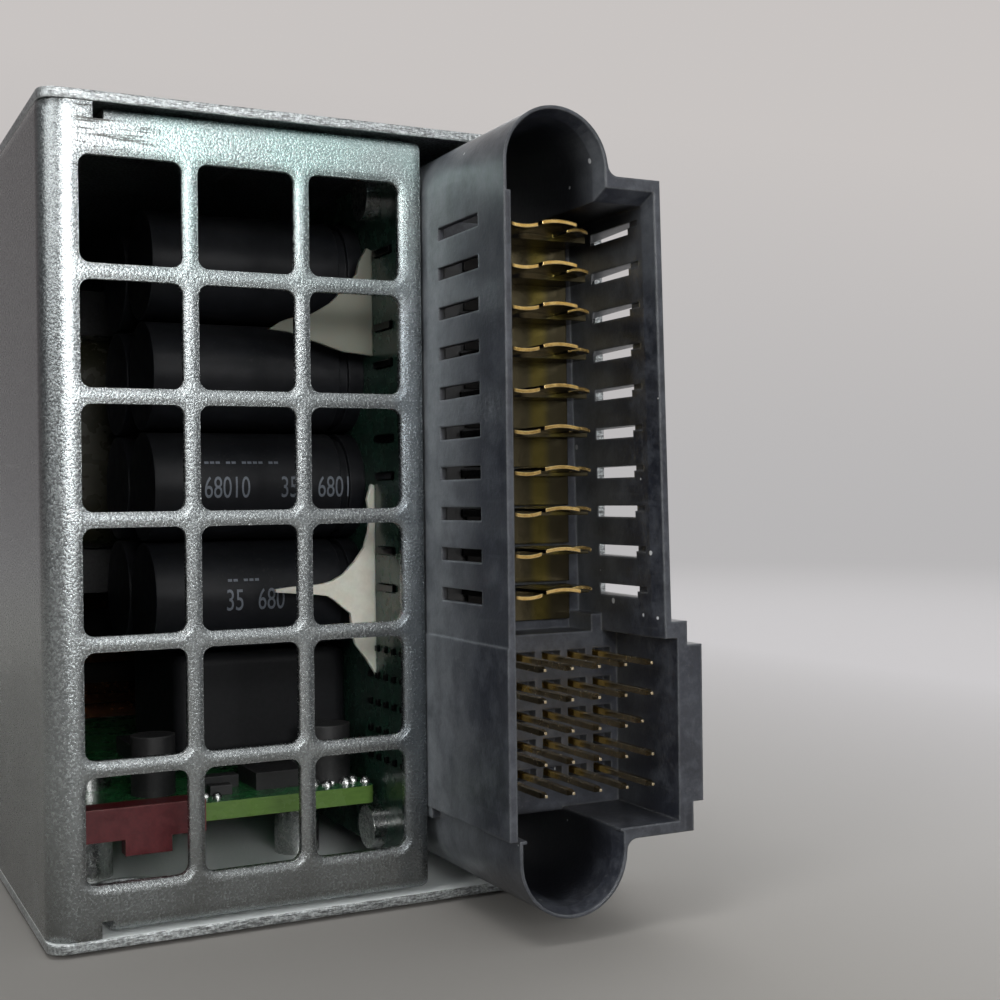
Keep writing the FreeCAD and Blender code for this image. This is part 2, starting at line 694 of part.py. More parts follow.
def side_cover():
    """Left wall, folded round the front corner into the grille panel."""
    inner = COVER_BEND - SHEET
    strip = [
        (LEFT, REAR), (LEFT, FRONT), (LEFT + RELIEF_X, FRONT),
        (LEFT + RELIEF_X, FRONT + SHEET), (LEFT + SHEET, FRONT + SHEET), (LEFT + SHEET, REAR),
    ]
    wall = slab("XY", strip, COVER_LOW, COVER_HIGH, [0, COVER_BEND, 0, 0, inner, 0])
    high = TOP - GRILLE_INSET
    low = GRILLE_INSET
    x0 = LEFT + RELIEF_X
    fold_x0 = x0 + RELIEF_W
    corners = [0, GRILLE_CORNER, GRILLE_CORNER, 0]
    panel = slab("XZ", rectangle(x0, GRILLE_X1, low, high), FRONT, FRONT + SHEET, corners)
    strip_top = box(x0, GRILLE_X1, FRONT, FRONT + SHEET, high - RELIEF_DEPTH, high)
    plane, points, radii = folded_edge("YZ", FRONT, FLANGE_BACK, high, RELIEF_DEPTH)
    flange = slab(plane, points, fold_x0, GRILLE_X1, radii)
    limit = slab("XZ", rectangle(x0, GRILLE_X1, low, high), FRONT, FRONT + FLANGE_BACK, corners)
    flange = flange.common(limit)
    panel = panel.cut([strip_top, mirrored(strip_top)])
    tabs = []
    tab_room = []
    for middle in tab_middles():
        y0 = middle - TAB_LENGTH / 2
        y1 = middle + TAB_LENGTH / 2
        plane, points, radii = folded_edge("XZ", LEFT, TAB_REACH, COVER_HIGH, FOLD)
        tab = slab(plane, points, y0, y1, radii)
        room = box(LEFT, LEFT + SHEET, y0 - SHEET, y1 + SHEET, COVER_HIGH - FOLD, COVER_HIGH)
        tabs += [tab, mirrored(tab)]
        tab_room += [room, mirrored(room)]
    cover = fuse([wall.cut(tab_room), panel, flange, mirrored(flange)] + tabs)
    return cover.cut(grille_holes() + screws_at(cover_screw_seats(), SCREW_CLEAR))


def grille_holes():
    first_x = GRILLE_X0 + GRILLE_HOLE_W / 2
    first_z = GRILLE_EDGE_HIGH + GRILLE_HOLE_H / 2
    holes = []
    for column in range(GRILLE_COLUMNS):
        x = first_x + (GRILLE_HOLE_W + GRILLE_BAR) * column
        for row in range(GRILLE_ROWS):
            z = first_z + (GRILLE_HOLE_H + GRILLE_BAR) * row
            outline = rectangle(x - GRILLE_HOLE_W / 2, x + GRILLE_HOLE_W / 2,
                                z - GRILLE_HOLE_H / 2, z + GRILLE_HOLE_H / 2)
            holes.append(slab("XZ", outline, FRONT - SHEET, FRONT + 2 * SHEET, GRILLE_HOLE_R))
    return holes


def end_panel():
    """Tray-shaped plate that closes the fan end."""
    x0 = LEFT + SHEET + SEAM
    x1 = RIGHT - SHEET - SEAM
    tray = slab("XZ", rectangle(x0, x1, COVER_LOW, COVER_HIGH), REAR - PANEL_FLANGE, REAR, FOLD)
    tray = round_edges(tray, PANEL_ROUND, lambda c, e: abs(c.y - REAR) < NEAR)
    hollow = slab("XZ", rectangle(x0 + SHEET, x1 - SHEET, COVER_LOW + SHEET, COVER_HIGH - SHEET),
                  REAR - PANEL_FLANGE, REAR - SHEET, FOLD - SHEET)
    cuts = [hollow, latch_panel_slot()]
    cuts.append(rod(vec(0, REAR - SHEET, FAN_Z), ALONG_Y, FAN_SIZE * PANEL_HOLE_SHARE, SHEET))
    for spot in fan_corners(REAR - SHEET):
        cuts.append(rod(spot, ALONG_Y, FAN_SCREW_R + HOLE_CLEAR, SHEET))
    x = LEFT + INLET_X
    half_w = INLET_BODY_W / 2 + HOLE_CLEAR
    half_h = INLET_BODY_H / 2 + HOLE_CLEAR
    cuts.append(box(x - half_w, x + half_w, REAR - SHEET, REAR, INLET_Z - half_h, INLET_Z + half_h))
    cuts.append(rod(vec(RIGHT - LIGHT_SIDE, REAR - SHEET, LIGHT_Z), ALONG_Y, LIGHT_R + SCREW_CLEAR, SHEET))
    for spot in lug_rivet_spots():
        cuts.append(rod(vec(spot.x, REAR - SHEET, spot.z), ALONG_Y, LUG_RIVET_R + SCREW_CLEAR, SHEET))
    cuts += screws_at(panel_screw_seats(), SCREW_CLEAR)
    return tray.cut(cuts)


# ---------------------------------------------------------------- Connector
def contact_heights():
    return [POWER_HIGH - CONTACT_INSET_HIGH - CONTACT_PITCH * i for i in range(CONTACT_COUNT)]


def guide_slab(low, shrink, y0, y1):
    """One round-ended guide, whose inner end is buried in the section beside it."""
    r = (LOW_GUIDE_R if low else GUIDE_R) - shrink
    x = SIDE + (LOW_GUIDE_X if low else GUIDE_X)
    z0 = GUIDE_LOW + shrink if low else POWER_HIGH - 2 * WALL - r
    z1 = SIGNAL_LOW + r if low else GUIDE_HIGH - shrink
    return slab("XZ", rectangle(x - r, x + r, z0, z1), y0, y1, r)


def guide_loop(low, shrink, y):
    """Closed outline of a guide's round-ended section."""
    thin = guide_slab(low, shrink, y, y + SEAM)
    return next(face for face in thin.Faces if abs(face.CenterOfMass.y - y) < 1e-6).OuterWire


def power_corners(right_high, right_low, high, low, y):
    """Corners of the power section, whose right side leans."""
    left = GUIDE_LEFT
    return [vec(left, y, low), vec(right_low, y, low), vec(right_high, y, high), vec(left, y, high)]


def power_side(z, inset=0.0):
    """Right side of the power section at its rim, at one height."""
    foot = SIGNAL_HIGH - WALL
    lean = POWER_SPREAD * (POWER_HIGH - z) / (POWER_HIGH - foot)
    return SIDE + POWER_RIGHT + lean - inset


def tapered(front_corners, back_corners):
    wires = [Part.makePolygon(corners + corners[:1]) for corners in (front_corners, back_corners)]
    return Part.makeLoft(wires, True, True)


def corner_fill(x, z, up):
    """The small hollow fillet between a round guide and a section's flat side."""
    r = CORNER_FILL
    z0 = z if up else z - r
    block = box(x - r / 2, x + r, FACE, FRONT - FRONT_GAP, z0, z0 + r)
    round_z = z + r if up else z - r
    return block.cut(rod(vec(x + r, FACE, round_z), ALONG_Y, r, PROUD))


def housing_outside():
    back = FRONT + BEHIND
    neck = FRONT - FRONT_GAP
    foot = SIGNAL_HIGH - WALL
    centre = SIDE + GUIDE_X
    guides = [guide_slab(low, 0, FACE, back) for low in (False, True)]
    ends = (power_side(POWER_HIGH), power_side(foot))
    power = tapered(power_corners(*ends, POWER_HIGH, foot, FACE),
                    power_corners(ends[0] + POWER_FLARE, ends[1] + POWER_FLARE, POWER_HIGH, foot, neck))
    power_back = box(GUIDE_LEFT, ends[0], neck, back, foot, POWER_HIGH)
    signal = [
        (SIDE + SIGNAL_LEFT, SIGNAL_HIGH), (centre, SIGNAL_HIGH), (centre, COLLAR_HIGH),
        (SIDE + COLLAR_RIGHT, COLLAR_HIGH), (SIDE + COLLAR_RIGHT, RIB_HIGH), (SIDE + RIB_RIGHT, RIB_HIGH),
        (SIDE + RIB_RIGHT, RIB_LOW), (SIDE + SKIRT_RIGHT, RIB_LOW), (SIDE + SKIRT_RIGHT, SKIRT_LOW),
        (centre, SKIRT_LOW), (centre, SIGNAL_LOW), (SIDE + SIGNAL_LEFT, SIGNAL_LOW),
    ]
    shroud = slab("XZ", signal, FACE, neck)
    tuck = box(SIDE + SIGNAL_LEFT, centre, neck, FRONT + SIGNAL_TUCK, SIGNAL_LOW, SIGNAL_HIGH)
    rear = box(GUIDE_LEFT, SIDE + COLLAR_RIGHT, neck, back, SKIRT_LOW, COLLAR_HIGH)
    fills = [corner_fill(centre + GUIDE_R, POWER_HIGH, True),
             corner_fill(SIDE + LOW_GUIDE_X + LOW_GUIDE_R, SKIRT_LOW, False)]
    return fuse(guides + [power, power_back, shroud, tuck, rear] + fills)


def housing_hollows():
    """Everything the mould leaves open, apart from slots and pin holes."""
    inner_x0 = GUIDE_LEFT + THIN_WALL
    rear_right = SIDE + POWER_RIGHT - WALL
    signal_right = SIDE + SIGNAL_INNER_RIGHT
    back = FRONT + BEHIND
    power_back = FACE + POWER_FLOOR
    signal_back = FACE + SIGNAL_FLOOR
    high = POWER_HIGH - 2 * WALL
    low = SIGNAL_HIGH
    keeps = (box(LEFT, RIGHT, FACE, back, POWER_HIGH - 2 * WALL, TOP),
             box(LEFT, RIGHT, FACE, back, 0, SIGNAL_LOW - WALL / 4))
    guides = []
    for low_end, keep in enumerate(keeps):
        loops = [guide_loop(low_end, LEAD_KNIFE, FACE), guide_loop(low_end, THIN_WALL, FACE + LEAD_IN)]
        guides.append(guide_slab(low_end, THIN_WALL, FACE, signal_back))
        guides.append(guide_slab(low_end, THIN_WALL, FACE, FACE + GUIDE_DEPTH).common(keep))
        guides.append(Part.makeLoft(loops, True, True).common(keep))
    inner = (power_side(high, WALL), power_side(low, WALL))
    rims = (power_side(high, THIN_WALL), power_side(low, THIN_WALL))
    power = tapered(power_corners(*inner, high, low, FACE), power_corners(*inner, high, low, power_back))
    lead = tapered(power_corners(*rims, POWER_HIGH - WALL, low, FACE),
                   power_corners(*inner, high, low, FACE + LEAD_IN))
    inside = box(inner_x0, RIGHT, FACE, power_back, low, TOP)
    signal = box(inner_x0, signal_right, FACE, signal_back, SIGNAL_LOW, low)
    open_side = BOARD_X1 - WALL
    power_rear = box(inner_x0, rear_right, power_back + FLOOR_T, back, low + WALL, high)
    tail_rear = box(open_side, inner_x0, FRONT + BOARD_START + WALL, back, low + WALL, high)
    pins_front = signal_back + SIGNAL_FLOOR_T
    pin_rear = box(inner_x0, signal_right, pins_front, back, SIGNAL_LOW + WALL, low - WALL)
    pin_side = box(open_side, inner_x0, FRONT + BOARD_START + WALL, back, SIGNAL_LOW + WALL, low - WALL)
    return guides + [power.common(inside), lead.common(inside), signal,
                     power_rear, tail_rear, pin_rear, pin_side]


def housing_slots():
    """Cooling slots beside every contact, and the slits that the contacts sit in."""
    cuts = []
    left_y = FACE + LEFT_SLOT_START
    right_y = FACE + RIGHT_SLOT_START
    right_end = right_y + RIGHT_SLOT_LENGTH
    far = SIDE + COLLAR_RIGHT
    for z in contact_heights():
        h = LEFT_SLOT_H / 2
        cuts.append(box(GUIDE_LEFT - WALL, GUIDE_LEFT + WALL, left_y, left_y + LEFT_SLOT_LENGTH,
                        z - h, z + h))
        h = RIGHT_SLOT_H / 2
        near = power_side(z, WALL)
        slot = [(near - WALL, right_y), (far, right_y), (far, right_end + RIGHT_SLOT_SLANT * (far - near)),
                (near, right_end), (near - WALL, right_end)]
        cuts.append(slab("XY", slot, z - h, z + h))
        cuts.append(box(near - WALL, near + RIGHT_STEP_DEPTH, right_y - RIGHT_STEP_LENGTH, right_y,
                        z + h - RIGHT_STEP_H, z + h))
        h = CONTACT_T / 2 + CONTACT_CLEAR
        cuts.append(box(SIDE + CONTACT_LEFT - CONTACT_CLEAR, SIDE + CONTACT_RIGHT + CONTACT_CLEAR,
                        FACE + POWER_FLOOR, FACE + POWER_FLOOR + FLOOR_T, z - h, z + h))
    return cuts


def pin_places():
    """Across and height of every signal pin, column by column."""
    places = []
    for column in range(PIN_COUNT):
        for row in range(PIN_COUNT):
            x = SIDE + PIN_FIRST_X + PIN_PITCH * column
            places.append((column, row, x, PIN_FIRST_Z - PIN_PITCH * row))
    return places


def pin_holes():
    cuts = []
    front = FACE + SIGNAL_FLOOR
    h = PIN_SIZE / 2 + PIN_CLEAR
    for column, row, x, z in pin_places():
        cuts.append(box(x - WINDOW_LEFT, x + WINDOW_RIGHT, front, front + WINDOW_DEPTH,
                        z - WINDOW_H / 2, z + WINDOW_H / 2))
        cuts.append(box(x - h, x + h, front, front + SIGNAL_FLOOR_T, z - h, z + h))
    return cuts


def connector_screw_places():
    y = FRONT + CONNECTOR_SCREW_BACK
    return [(y, GUIDE_HIGH - CONNECTOR_SCREW_INSET), (y, GUIDE_LOW + CONNECTOR_SCREW_INSET)]


def connector_housing():
    housing = housing_outside()
    flat = box(LEFT, BOARD_X1, FRONT + BOARD_START - SEAM, FRONT + BEHIND, 0, TOP)
    housing = housing.cut([flat] + housing_hollows())
    post = box(SIDE + POST_LEFT, SIDE + POST_RIGHT, FACE + SIGNAL_FLOOR, FACE + POWER_FLOOR,
               SIGNAL_HIGH, SIGNAL_HIGH + POST_H)
    housing = fuse([housing, post])
    cuts = housing_slots() + pin_holes()
    for y, z in connector_screw_places():
        cuts.append(rod(vec(BOARD_X1, y, z), ALONG_X, CONNECTOR_SCREW_R + SCREW_CLEAR,
                        CONNECTOR_SCREW_LENGTH - BOARD_T + HOLE_CLEAR))
    return housing.cut(cuts)


def bowed_strip(x0, x1, z, bow, thickness, y0, y1):
    """A thin strip, arched across its width, that runs from y0 to y1."""
    middle = (x0 + x1) / 2
    half = thickness / 2
    top = Part.Arc(vec(x0, y0, z + half), vec(middle, y0, z + bow + half), vec(x1, y0, z + half)).toShape()
    low = Part.Arc(vec(x1, y0, z - half), vec(middle, y0, z + bow - half), vec(x0, y0, z - half)).toShape()
    ends = [Part.makeLine(vec(x1, y0, z + half), vec(x1, y0, z - half)),
            Part.makeLine(vec(x0, y0, z - half), vec(x0, y0, z + half))]
    wire = Part.Wire([top, ends[0], low, ends[1]])
    return Part.Face(wire).extrude(vec(0, y1 - y0, 0))


def power_contact(z):
    """Stamped contact: three spring fingers, a flat body, a folded web and a tail into the board."""
    root = FACE + FINGER_ROOT
    back = FRONT + TAIL_BACK
    tail_x = BOARD_X0 - TAIL_REACH
    left = SIDE + CONTACT_LEFT
    right = SIDE + CONTACT_RIGHT
    outline = [
        (left, root), (right, root), (right, back),
        (tail_x, back), (tail_x, FRONT + TAIL_FRONT), (left, FRONT + TAIL_FRONT),
    ]
    body = slab("XY", outline, z - CONTACT_T / 2, z + CONTACT_T / 2)
    floor = FACE + POWER_FLOOR - CONTACT_CLEAR
    web = box(left + WEB_GAP, right, floor - WEB_T, floor, z - CONTACT_PITCH + CONTACT_T / 2 + WEB_GAP, z)
    fingers = []
    for x0, x1, lift, bow, set_back in FINGERS:
        tip = FACE + CONTACT_TIP + set_back
        fingers.append(bowed_strip(SIDE + x0, SIDE + x1, z + lift, bow, FINGER_T, tip, root + CONTACT_T))
    return fuse([body, web] + fingers)


def power_contacts():
    return group([power_contact(z) for z in contact_heights()])


def signal_pin(column, x, z, shorter):
    """Square pin that turns a right angle into the board."""
    h = PIN_SIZE / 2
    tip = FACE + PIN_TIP + shorter
    bend = FRONT + PIN_BEND_FIRST + PIN_BEND_STEP * column
    end = BOARD_X0 - TAIL_REACH
    point = h * PIN_POINT_SHARE
    side = [
        (x - point, tip), (x + point, tip), (x + h, tip + PIN_TAPER), (x + h, bend + h),
        (end, bend + h), (end, bend - h), (x - h, bend - h), (x - h, tip + PIN_TAPER),
    ]
    pin = slab("XY", side, z - h, z + h)
    taper = [
        (tip, z - point), (tip + PIN_TAPER, z - h), (bend + PIN_SIZE, z - h),
        (bend + PIN_SIZE, z + h), (tip + PIN_TAPER, z + h), (tip, z + point),
    ]
    return pin.common(slab("YZ", taper, end - h, x + PIN_SIZE))


def signal_pins():
    pins = []
    for column, row, x, z in pin_places():
        shorter = PIN_SHORT if (column, row) == (SHORT_COLUMN, SHORT_ROW) else 0.0
        pins.append(signal_pin(column, x, z, shorter))
    return group(pins)


def connector_screws():
    screws = []
    for y, z in connector_screw_places():
        screws.append(pan_screw(vec(BOARD_X0, y, z), ALONG_X * -1, CONNECTOR_SCREW_R,
                                CONNECTOR_SCREW_HEAD_R, CONNECTOR_SCREW_HEAD_H, CONNECTOR_SCREW_LENGTH))
    return group(screws)


# ---------------------------------------------------------------- Main board and what holds it
def standoff_places():
    ys = (FRONT + STANDOFF_FRONT, REAR - STANDOFF_BACK)
    return [(y, z) for y in ys for z in (STANDOFF_LOW, TOP - STANDOFF_DROP)]


def main_board():
    outline = rectangle(BOARD_Y0, BOARD_Y1, BOARD_EDGE, TOP - BOARD_EDGE)
    board = slab("YZ", outline, BOARD_X0, BOARD_X1, BOARD_CORNER)
    cuts = []
    for y, z in standoff_places():
        cuts.append(rod(vec(BOARD_X0, y, z), ALONG_X, BOARD_SCREW_R + HOLE_CLEAR, BOARD_T))
    for y, z in connector_screw_places():
        cuts.append(rod(vec(BOARD_X0, y, z), ALONG_X, CONNECTOR_SCREW_R + HOLE_CLEAR, BOARD_T))
    half = CONTACT_T / 2 + HOLE_CLEAR
    for z in contact_heights():
        cuts.append(box(BOARD_X0, BOARD_X1, FRONT + TAIL_FRONT - HOLE_CLEAR, FRONT + TAIL_BACK + HOLE_CLEAR,
                        z - half, z + half))
    half = PIN_SIZE / 2 + HOLE_CLEAR
    for column, row, x, z in pin_places():
        y = FRONT + PIN_BEND_FIRST + PIN_BEND_STEP * column
        cuts.append(box(BOARD_X0, BOARD_X1, y - half, y + half, z - half, z + half))
    return board.cut(cuts)


def board_standoffs():
    pillars = []
    for y, z in standoff_places():
        pillar = Part.makePolygon([
            vec(BOARD_X1, y + STANDOFF_R * math.cos(math.radians(60 * i)),
                z + STANDOFF_R * math.sin(math.radians(60 * i))) for i in range(7)])
        solid = Part.Face(pillar).extrude(vec(WALL_X - BOARD_X1, 0, 0))
        bore = rod(vec(BOARD_X1, y, z), ALONG_X, BOARD_SCREW_R + SCREW_CLEAR, BOARD_SCREW_LENGTH)
        pillars.append(solid.cut(bore))
    return group(pillars)


def board_screws():
    screws = []
    for y, z in standoff_places():
        screws.append(pan_screw(vec(BOARD_X0, y, z), ALONG_X * -1, BOARD_SCREW_R,
                                BOARD_SCREW_HEAD_R, BOARD_SCREW_HEAD_H, BOARD_SCREW_LENGTH))
    return group(screws)


def insulating_sheet():
    """Film between the right wall and the parts on the board."""
    outline = rectangle(FRONT + BEHIND + FILM_EDGE, BOARD_Y1, FILM_EDGE, TOP - FILM_EDGE)
    film = slab("YZ", outline, WALL_X - FILM_T, WALL_X, FILM_EDGE / 2)
    holes = [rod(vec(WALL_X - FILM_T, y, z), ALONG_X, STANDOFF_R + HOLE_CLEAR, FILM_T)
             for y, z in standoff_places()]
    return film.cut(holes)


# ---------------------------------------------------------------- Daughter board
def post_places():
    xs = (LOW_BOARD_X0 + POST_INSET, LOW_BOARD_X1 - POST_INSET)
    y0 = FRONT + LOW_BOARD_START + LOW_BOARD_LENGTH - POST_INSET
    y1 = FRONT + LOW_BOARD_START + POST_INSET + 2 * SPOT_HOLE_R
    return [(x, y) for x in xs for y in (y0, y1)]


def daughter_board():
    outline = rectangle(LOW_BOARD_X0, LOW_BOARD_X1,
                        FRONT + LOW_BOARD_START, FRONT + LOW_BOARD_START + LOW_BOARD_LENGTH)
    low = LOW_BOARD_HIGH - BOARD_T
    board = slab("XY", outline, low, LOW_BOARD_HIGH, SHEET)
    return board.cut([rod(vec(x, y, low), ALONG_Z, SCREW_R + HOLE_CLEAR, BOARD_T) for x, y in post_places()])


def daughter_board_posts():
    height = LOW_BOARD_HIGH - BOARD_T - SHEET
    posts = []
    for x, y in post_places():
        posts.append(tube(vec(x, y, SHEET), ALONG_Z, POST_R, SCREW_R + SCREW_CLEAR, height))
    return group(posts)


def daughter_board_screws():
    screws = []
    for x, y in post_places():
        screws.append(pan_screw(vec(x, y, LOW_BOARD_HIGH), ALONG_Z, SCREW_R,
                                POST_HEAD_R, POST_HEAD_H, POST_SCREW_LENGTH))
    return group(screws)


def daughter_board_parts():
    """Surface-mounted chips and small upright electrolytics."""
    z = LOW_BOARD_HIGH
    y0 = FRONT + LOW_BOARD_START
    width = LOW_BOARD_X1 - LOW_BOARD_X0
    length = LOW_BOARD_LENGTH
    parts = []
    for across, along, w, d, h in CHIPS:
        x = LOW_BOARD_X0 + across * width
        y = y0 + along * length
        parts.append(box(x, x + w * width, y, y + d * length, z, z + h))
    for across, along, r, h in SMALL_CANS:
        parts.append(rod(vec(LOW_BOARD_X0 + across * width, y0 + along * length, z), ALONG_Z, r, h))
    return group(parts)


def edge_guard():
    """Insulating clip over the front left corner of the daughter board."""
    x0 = LOW_BOARD_X0
    y0 = FRONT + LOW_BOARD_START
    nose = y0 - GUARD_NOSE
    high = LOW_BOARD_HIGH
    low = high - BOARD_T
    grip = y0 + GUARD_OVERLAP
    outline = [(nose, low - GUARD_T), (grip, low - GUARD_T), (grip, low), (y0, low),
               (y0, high), (grip, high), (grip, high + GUARD_T), (nose, high + GUARD_T)]
    clip = slab("YZ", outline, x0, x0 + GUARD_CLIP_W)
    wing = box(x0 - GUARD_WING_T, x0, nose, y0 + GUARD_WING_BACK, low - GUARD_T, high + GUARD_WING_H)
    key_x = x0 + GUARD_KEY_X
    key = box(key_x, key_x + GUARD_KEY_W, nose, y0 + GUARD_T, low - GUARD_KEY_H, low - GUARD_T)
    return fuse([clip, wing, key])


# ---------------------------------------------------------------- Parts on the board
def cap_height(row):
    return TOP - CAP_INSET - CAP_R - CAP_PITCH * row


def output_capacitors():
    """Radial electrolytics that stand on the board, stacked one above another."""
    caps = []
    for column in range(CAP_COLUMNS):
        for row in range(CAP_ROWS):
            y = FRONT + CAP_FIRST_BACK + CAP_COLUMN_PITCH * column
            z = cap_height(row)
            can = rod(vec(BOARD_X0 - CAP_LENGTH, y, z), ALONG_X, CAP_R, CAP_LENGTH)
            groove = vec(BOARD_X0 - CAP_GROOVE_X, y, z)
            caps.append(can.cut(tube(groove, ALONG_X, CAP_R + CAP_GROOVE, CAP_R - CAP_GROOVE, CAP_GROOVE_W)))
    return group(caps)


def capacitor_spacers():
    """Two stiff white fins, hollowed to clear round neighbours, that steady the stack."""
    y0 = FRONT + SPACER_BACK
    return group([slab("XZ", [(BOARD_X0 - reach, TOP - drop) for reach, drop in outline], y0, y0 + SPACER_T)
                  for outline in SPACERS])


def bulk_capacitor():
    """High-voltage can that lies along the case against the board."""
    start = vec(BOARD_X0 - BULK_R, FRONT + BULK_BACK, TOP - BULK_INSET - BULK_R)
    can = rod(start, ALONG_Y, BULK_R, BULK_LENGTH)
    can = round_edges(can, BULK_ROUND, lambda c, e: not is_along(e, ALONG_Y))
    groove = start.add(vec(0, BULK_GROOVE_Y, 0))
    return can.cut(tube(groove, ALONG_Y, BULK_R + 1, BULK_R - BULK_GROOVE, BULK_GROOVE_W))


def transformer_core():
    z = TOP - TRANSFORMER_DROP
    y = FRONT + TRANSFORMER_BACK
    x1 = BOARD_X0 - BOBBIN_T
    x0 = x1 - CORE_REACH
    core = box(x0, x1, y - CORE_DEPTH / 2, y + CORE_DEPTH / 2, z - CORE_HEIGHT / 2, z + CORE_HEIGHT / 2)
    core = round_edges(core, CORE_ROUND, lambda c, e: is_along(e, ALONG_Y))
    window_z = CORE_HEIGHT / 2 - CORE_WALL
    cuts = []
    for side in (-1, 1):
        za = z + side * CORE_LEG / 2
        zb = z + side * window_z
        cuts.append(box(x0 + CORE_WALL, x1 - CORE_WALL, y - CORE_DEPTH, y + CORE_DEPTH,
                        min(za, zb), max(za, zb)))
    return core.cut(cuts)


def transformer_winding():
    z = TOP - TRANSFORMER_DROP
    y = FRONT + TRANSFORMER_BACK
    x1 = BOARD_X0 - BOBBIN_T - CORE_WALL
    x0 = x1 - CORE_REACH + 2 * CORE_WALL
    half_z = CORE_HEIGHT / 2 - CORE_WALL - HOLE_CLEAR
    outer = slab("YZ", rectangle(y - WINDING_BULGE, y + WINDING_BULGE, z - half_z, z + half_z),
                 x0, x1, WINDING_ROUND)
    leg = box(x0, x1, y - CORE_DEPTH / 2, y + CORE_DEPTH / 2, z - CORE_LEG / 2, z + CORE_LEG / 2)
    return outer.cut(leg)


def transformer_bobbin():
    z = TOP - TRANSFORMER_DROP
    y = FRONT + TRANSFORMER_BACK
    x0 = BOARD_X0 - BOBBIN_T
    rim = slab("YZ", rectangle(y - WINDING_BULGE, y + WINDING_BULGE, z - CORE_HEIGHT / 2, z + CORE_HEIGHT / 2),
               x0, BOARD_X0, CORE_ROUND)
    low = z - CORE_HEIGHT / 2
    return rim.cut(box(x0, BOARD_X0, y - BOBBIN_CHANNEL, y + BOBBIN_CHANNEL, low, low + BOBBIN_CHANNEL))


def toroid(x1, y, z, radius, bore, height):
    """Tape-wrapped ring core whose axis stands off the board."""
    ring = tube(vec(x1 - height, y, z), ALONG_X, radius, bore, height)
    return ring.makeFillet(RING_ROUND, [e for e in ring.Edges if not is_along(e, ALONG_X)])


def wound(x1, y, z, radius, bore, height, turns, arc, wire_r):
    """Turns of thick wire round a ring core, each a square-cornered loop."""
    loops = []
    x0 = x1 - height
    wire = 2 * wire_r
    inner = bore - WIRE_GAP
    outer = radius + WIRE_GAP
    for i in range(turns):
        angle = arc[0] + (arc[1] - arc[0]) * i / (turns - 1)
        frame = box(x0 - WIRE_GAP - wire, x1 + WIRE_GAP + wire, -wire_r, wire_r, inner - wire, outer + wire)
        loop = frame.cut(box(x0 - WIRE_GAP, x1 + WIRE_GAP, -wire, wire, inner, outer))
        loop.rotate(vec(0, 0, 0), ALONG_X, angle)
        loop.translate(vec(0, y, z))
        loops.append(loop)
    return group(loops)


def choke_ring():
    """Place and size of the power-factor choke's ring."""
    x1 = BOARD_X0 - 2 * WIRE_R - WIRE_GAP
    radius = CHOKE_R - 2 * WIRE_R
    return x1, FRONT + CHOKE_BACK, CHOKE_LOW + CHOKE_R, radius, CHOKE_R * CHOKE_BORE_SHARE, CHOKE_H


def emi_ring():
    return BOARD_X0 - 2 * WIRE_R - WIRE_GAP, FRONT + EMI_BACK, EMI_Z, EMI_R, EMI_BORE, EMI_H


def emi_choke_winding():
    halves = [wound(*emi_ring(), EMI_TURNS, arc, EMI_WIRE_R) for arc in EMI_ARCS]
    return group(halves[0].Solids + halves[1].Solids)


def output_inductor():
    """Moulded power inductor between the capacitors and the daughter board."""
    y0 = FRONT + CAP_FIRST_BACK + INDUCTOR_GAP
    z1 = cap_height(CAP_ROWS - 1) - CAP_R - INDUCTOR_GAP
    block = box(BOARD_X0 - INDUCTOR_W, BOARD_X0, y0, y0 + INDUCTOR_L, z1 - INDUCTOR_H, z1)
    return block.makeFillet(INDUCTOR_ROUND, block.Edges)


def filter_capacitor():
    y0 = FRONT + FILTER_BACK
    block = box(BOARD_X0 - FILTER_W, BOARD_X0, y0, y0 + FILTER_L, TALL_LOW, FILTER_HIGH)
    return block.makeFillet(FILTER_ROUND, block.Edges)


def bridge_rectifier():
    x1 = BOARD_X0 - BRIDGE_STAND
    y0 = FRONT + BRIDGE_BACK
    body = box(x1 - BRIDGE_W, x1, y0, y0 + BRIDGE_T, TALL_LOW, TALL_HIGH)
    body = round_edges(body, FILTER_ROUND, lambda c, e: is_along(e, ALONG_Y))
    middle = y0 + BRIDGE_T / 2
    leads = [box(x1, BOARD_X0, middle - BRIDGE_LEAD_T / 2, middle + BRIDGE_LEAD_T / 2,
                 z - BRIDGE_LEAD_W / 2, z + BRIDGE_LEAD_W / 2) for z in BRIDGE_LEADS]
    return fuse([body] + leads)


def relay():
    y0 = FRONT + RELAY_BACK
    block = box(BOARD_X0 - RELAY_W, BOARD_X0, y0, y0 + RELAY_L, TALL_LOW, TALL_HIGH)
    return block.makeFillet(RELAY_ROUND, block.Edges)


def line_fuse():
    """Ceramic fuse with a cap and a lead at each end."""
    x = BOARD_X0 - FUSE_STAND
    y = FRONT + FUSE_BACK
    z1 = TOP - STANDOFF_DROP - BOARD_SCREW_HEAD_R - FUSE_GAP
    z0 = z1 - FUSE_LENGTH
    pieces = [rod(vec(x, y, z0 + FUSE_CAP_L / 2), ALONG_Z, FUSE_R, FUSE_LENGTH - FUSE_CAP_L)]
    half = FUSE_LEAD / 2
    for z in (z0, z1 - FUSE_CAP_L):
        middle = z + FUSE_CAP_L / 2
        pieces.append(rod(vec(x, y, z), ALONG_Z, FUSE_CAP_R, FUSE_CAP_L))
        pieces.append(box(x, BOARD_X0, y - half, y + half, middle - half, middle + half))
    return fuse(pieces)


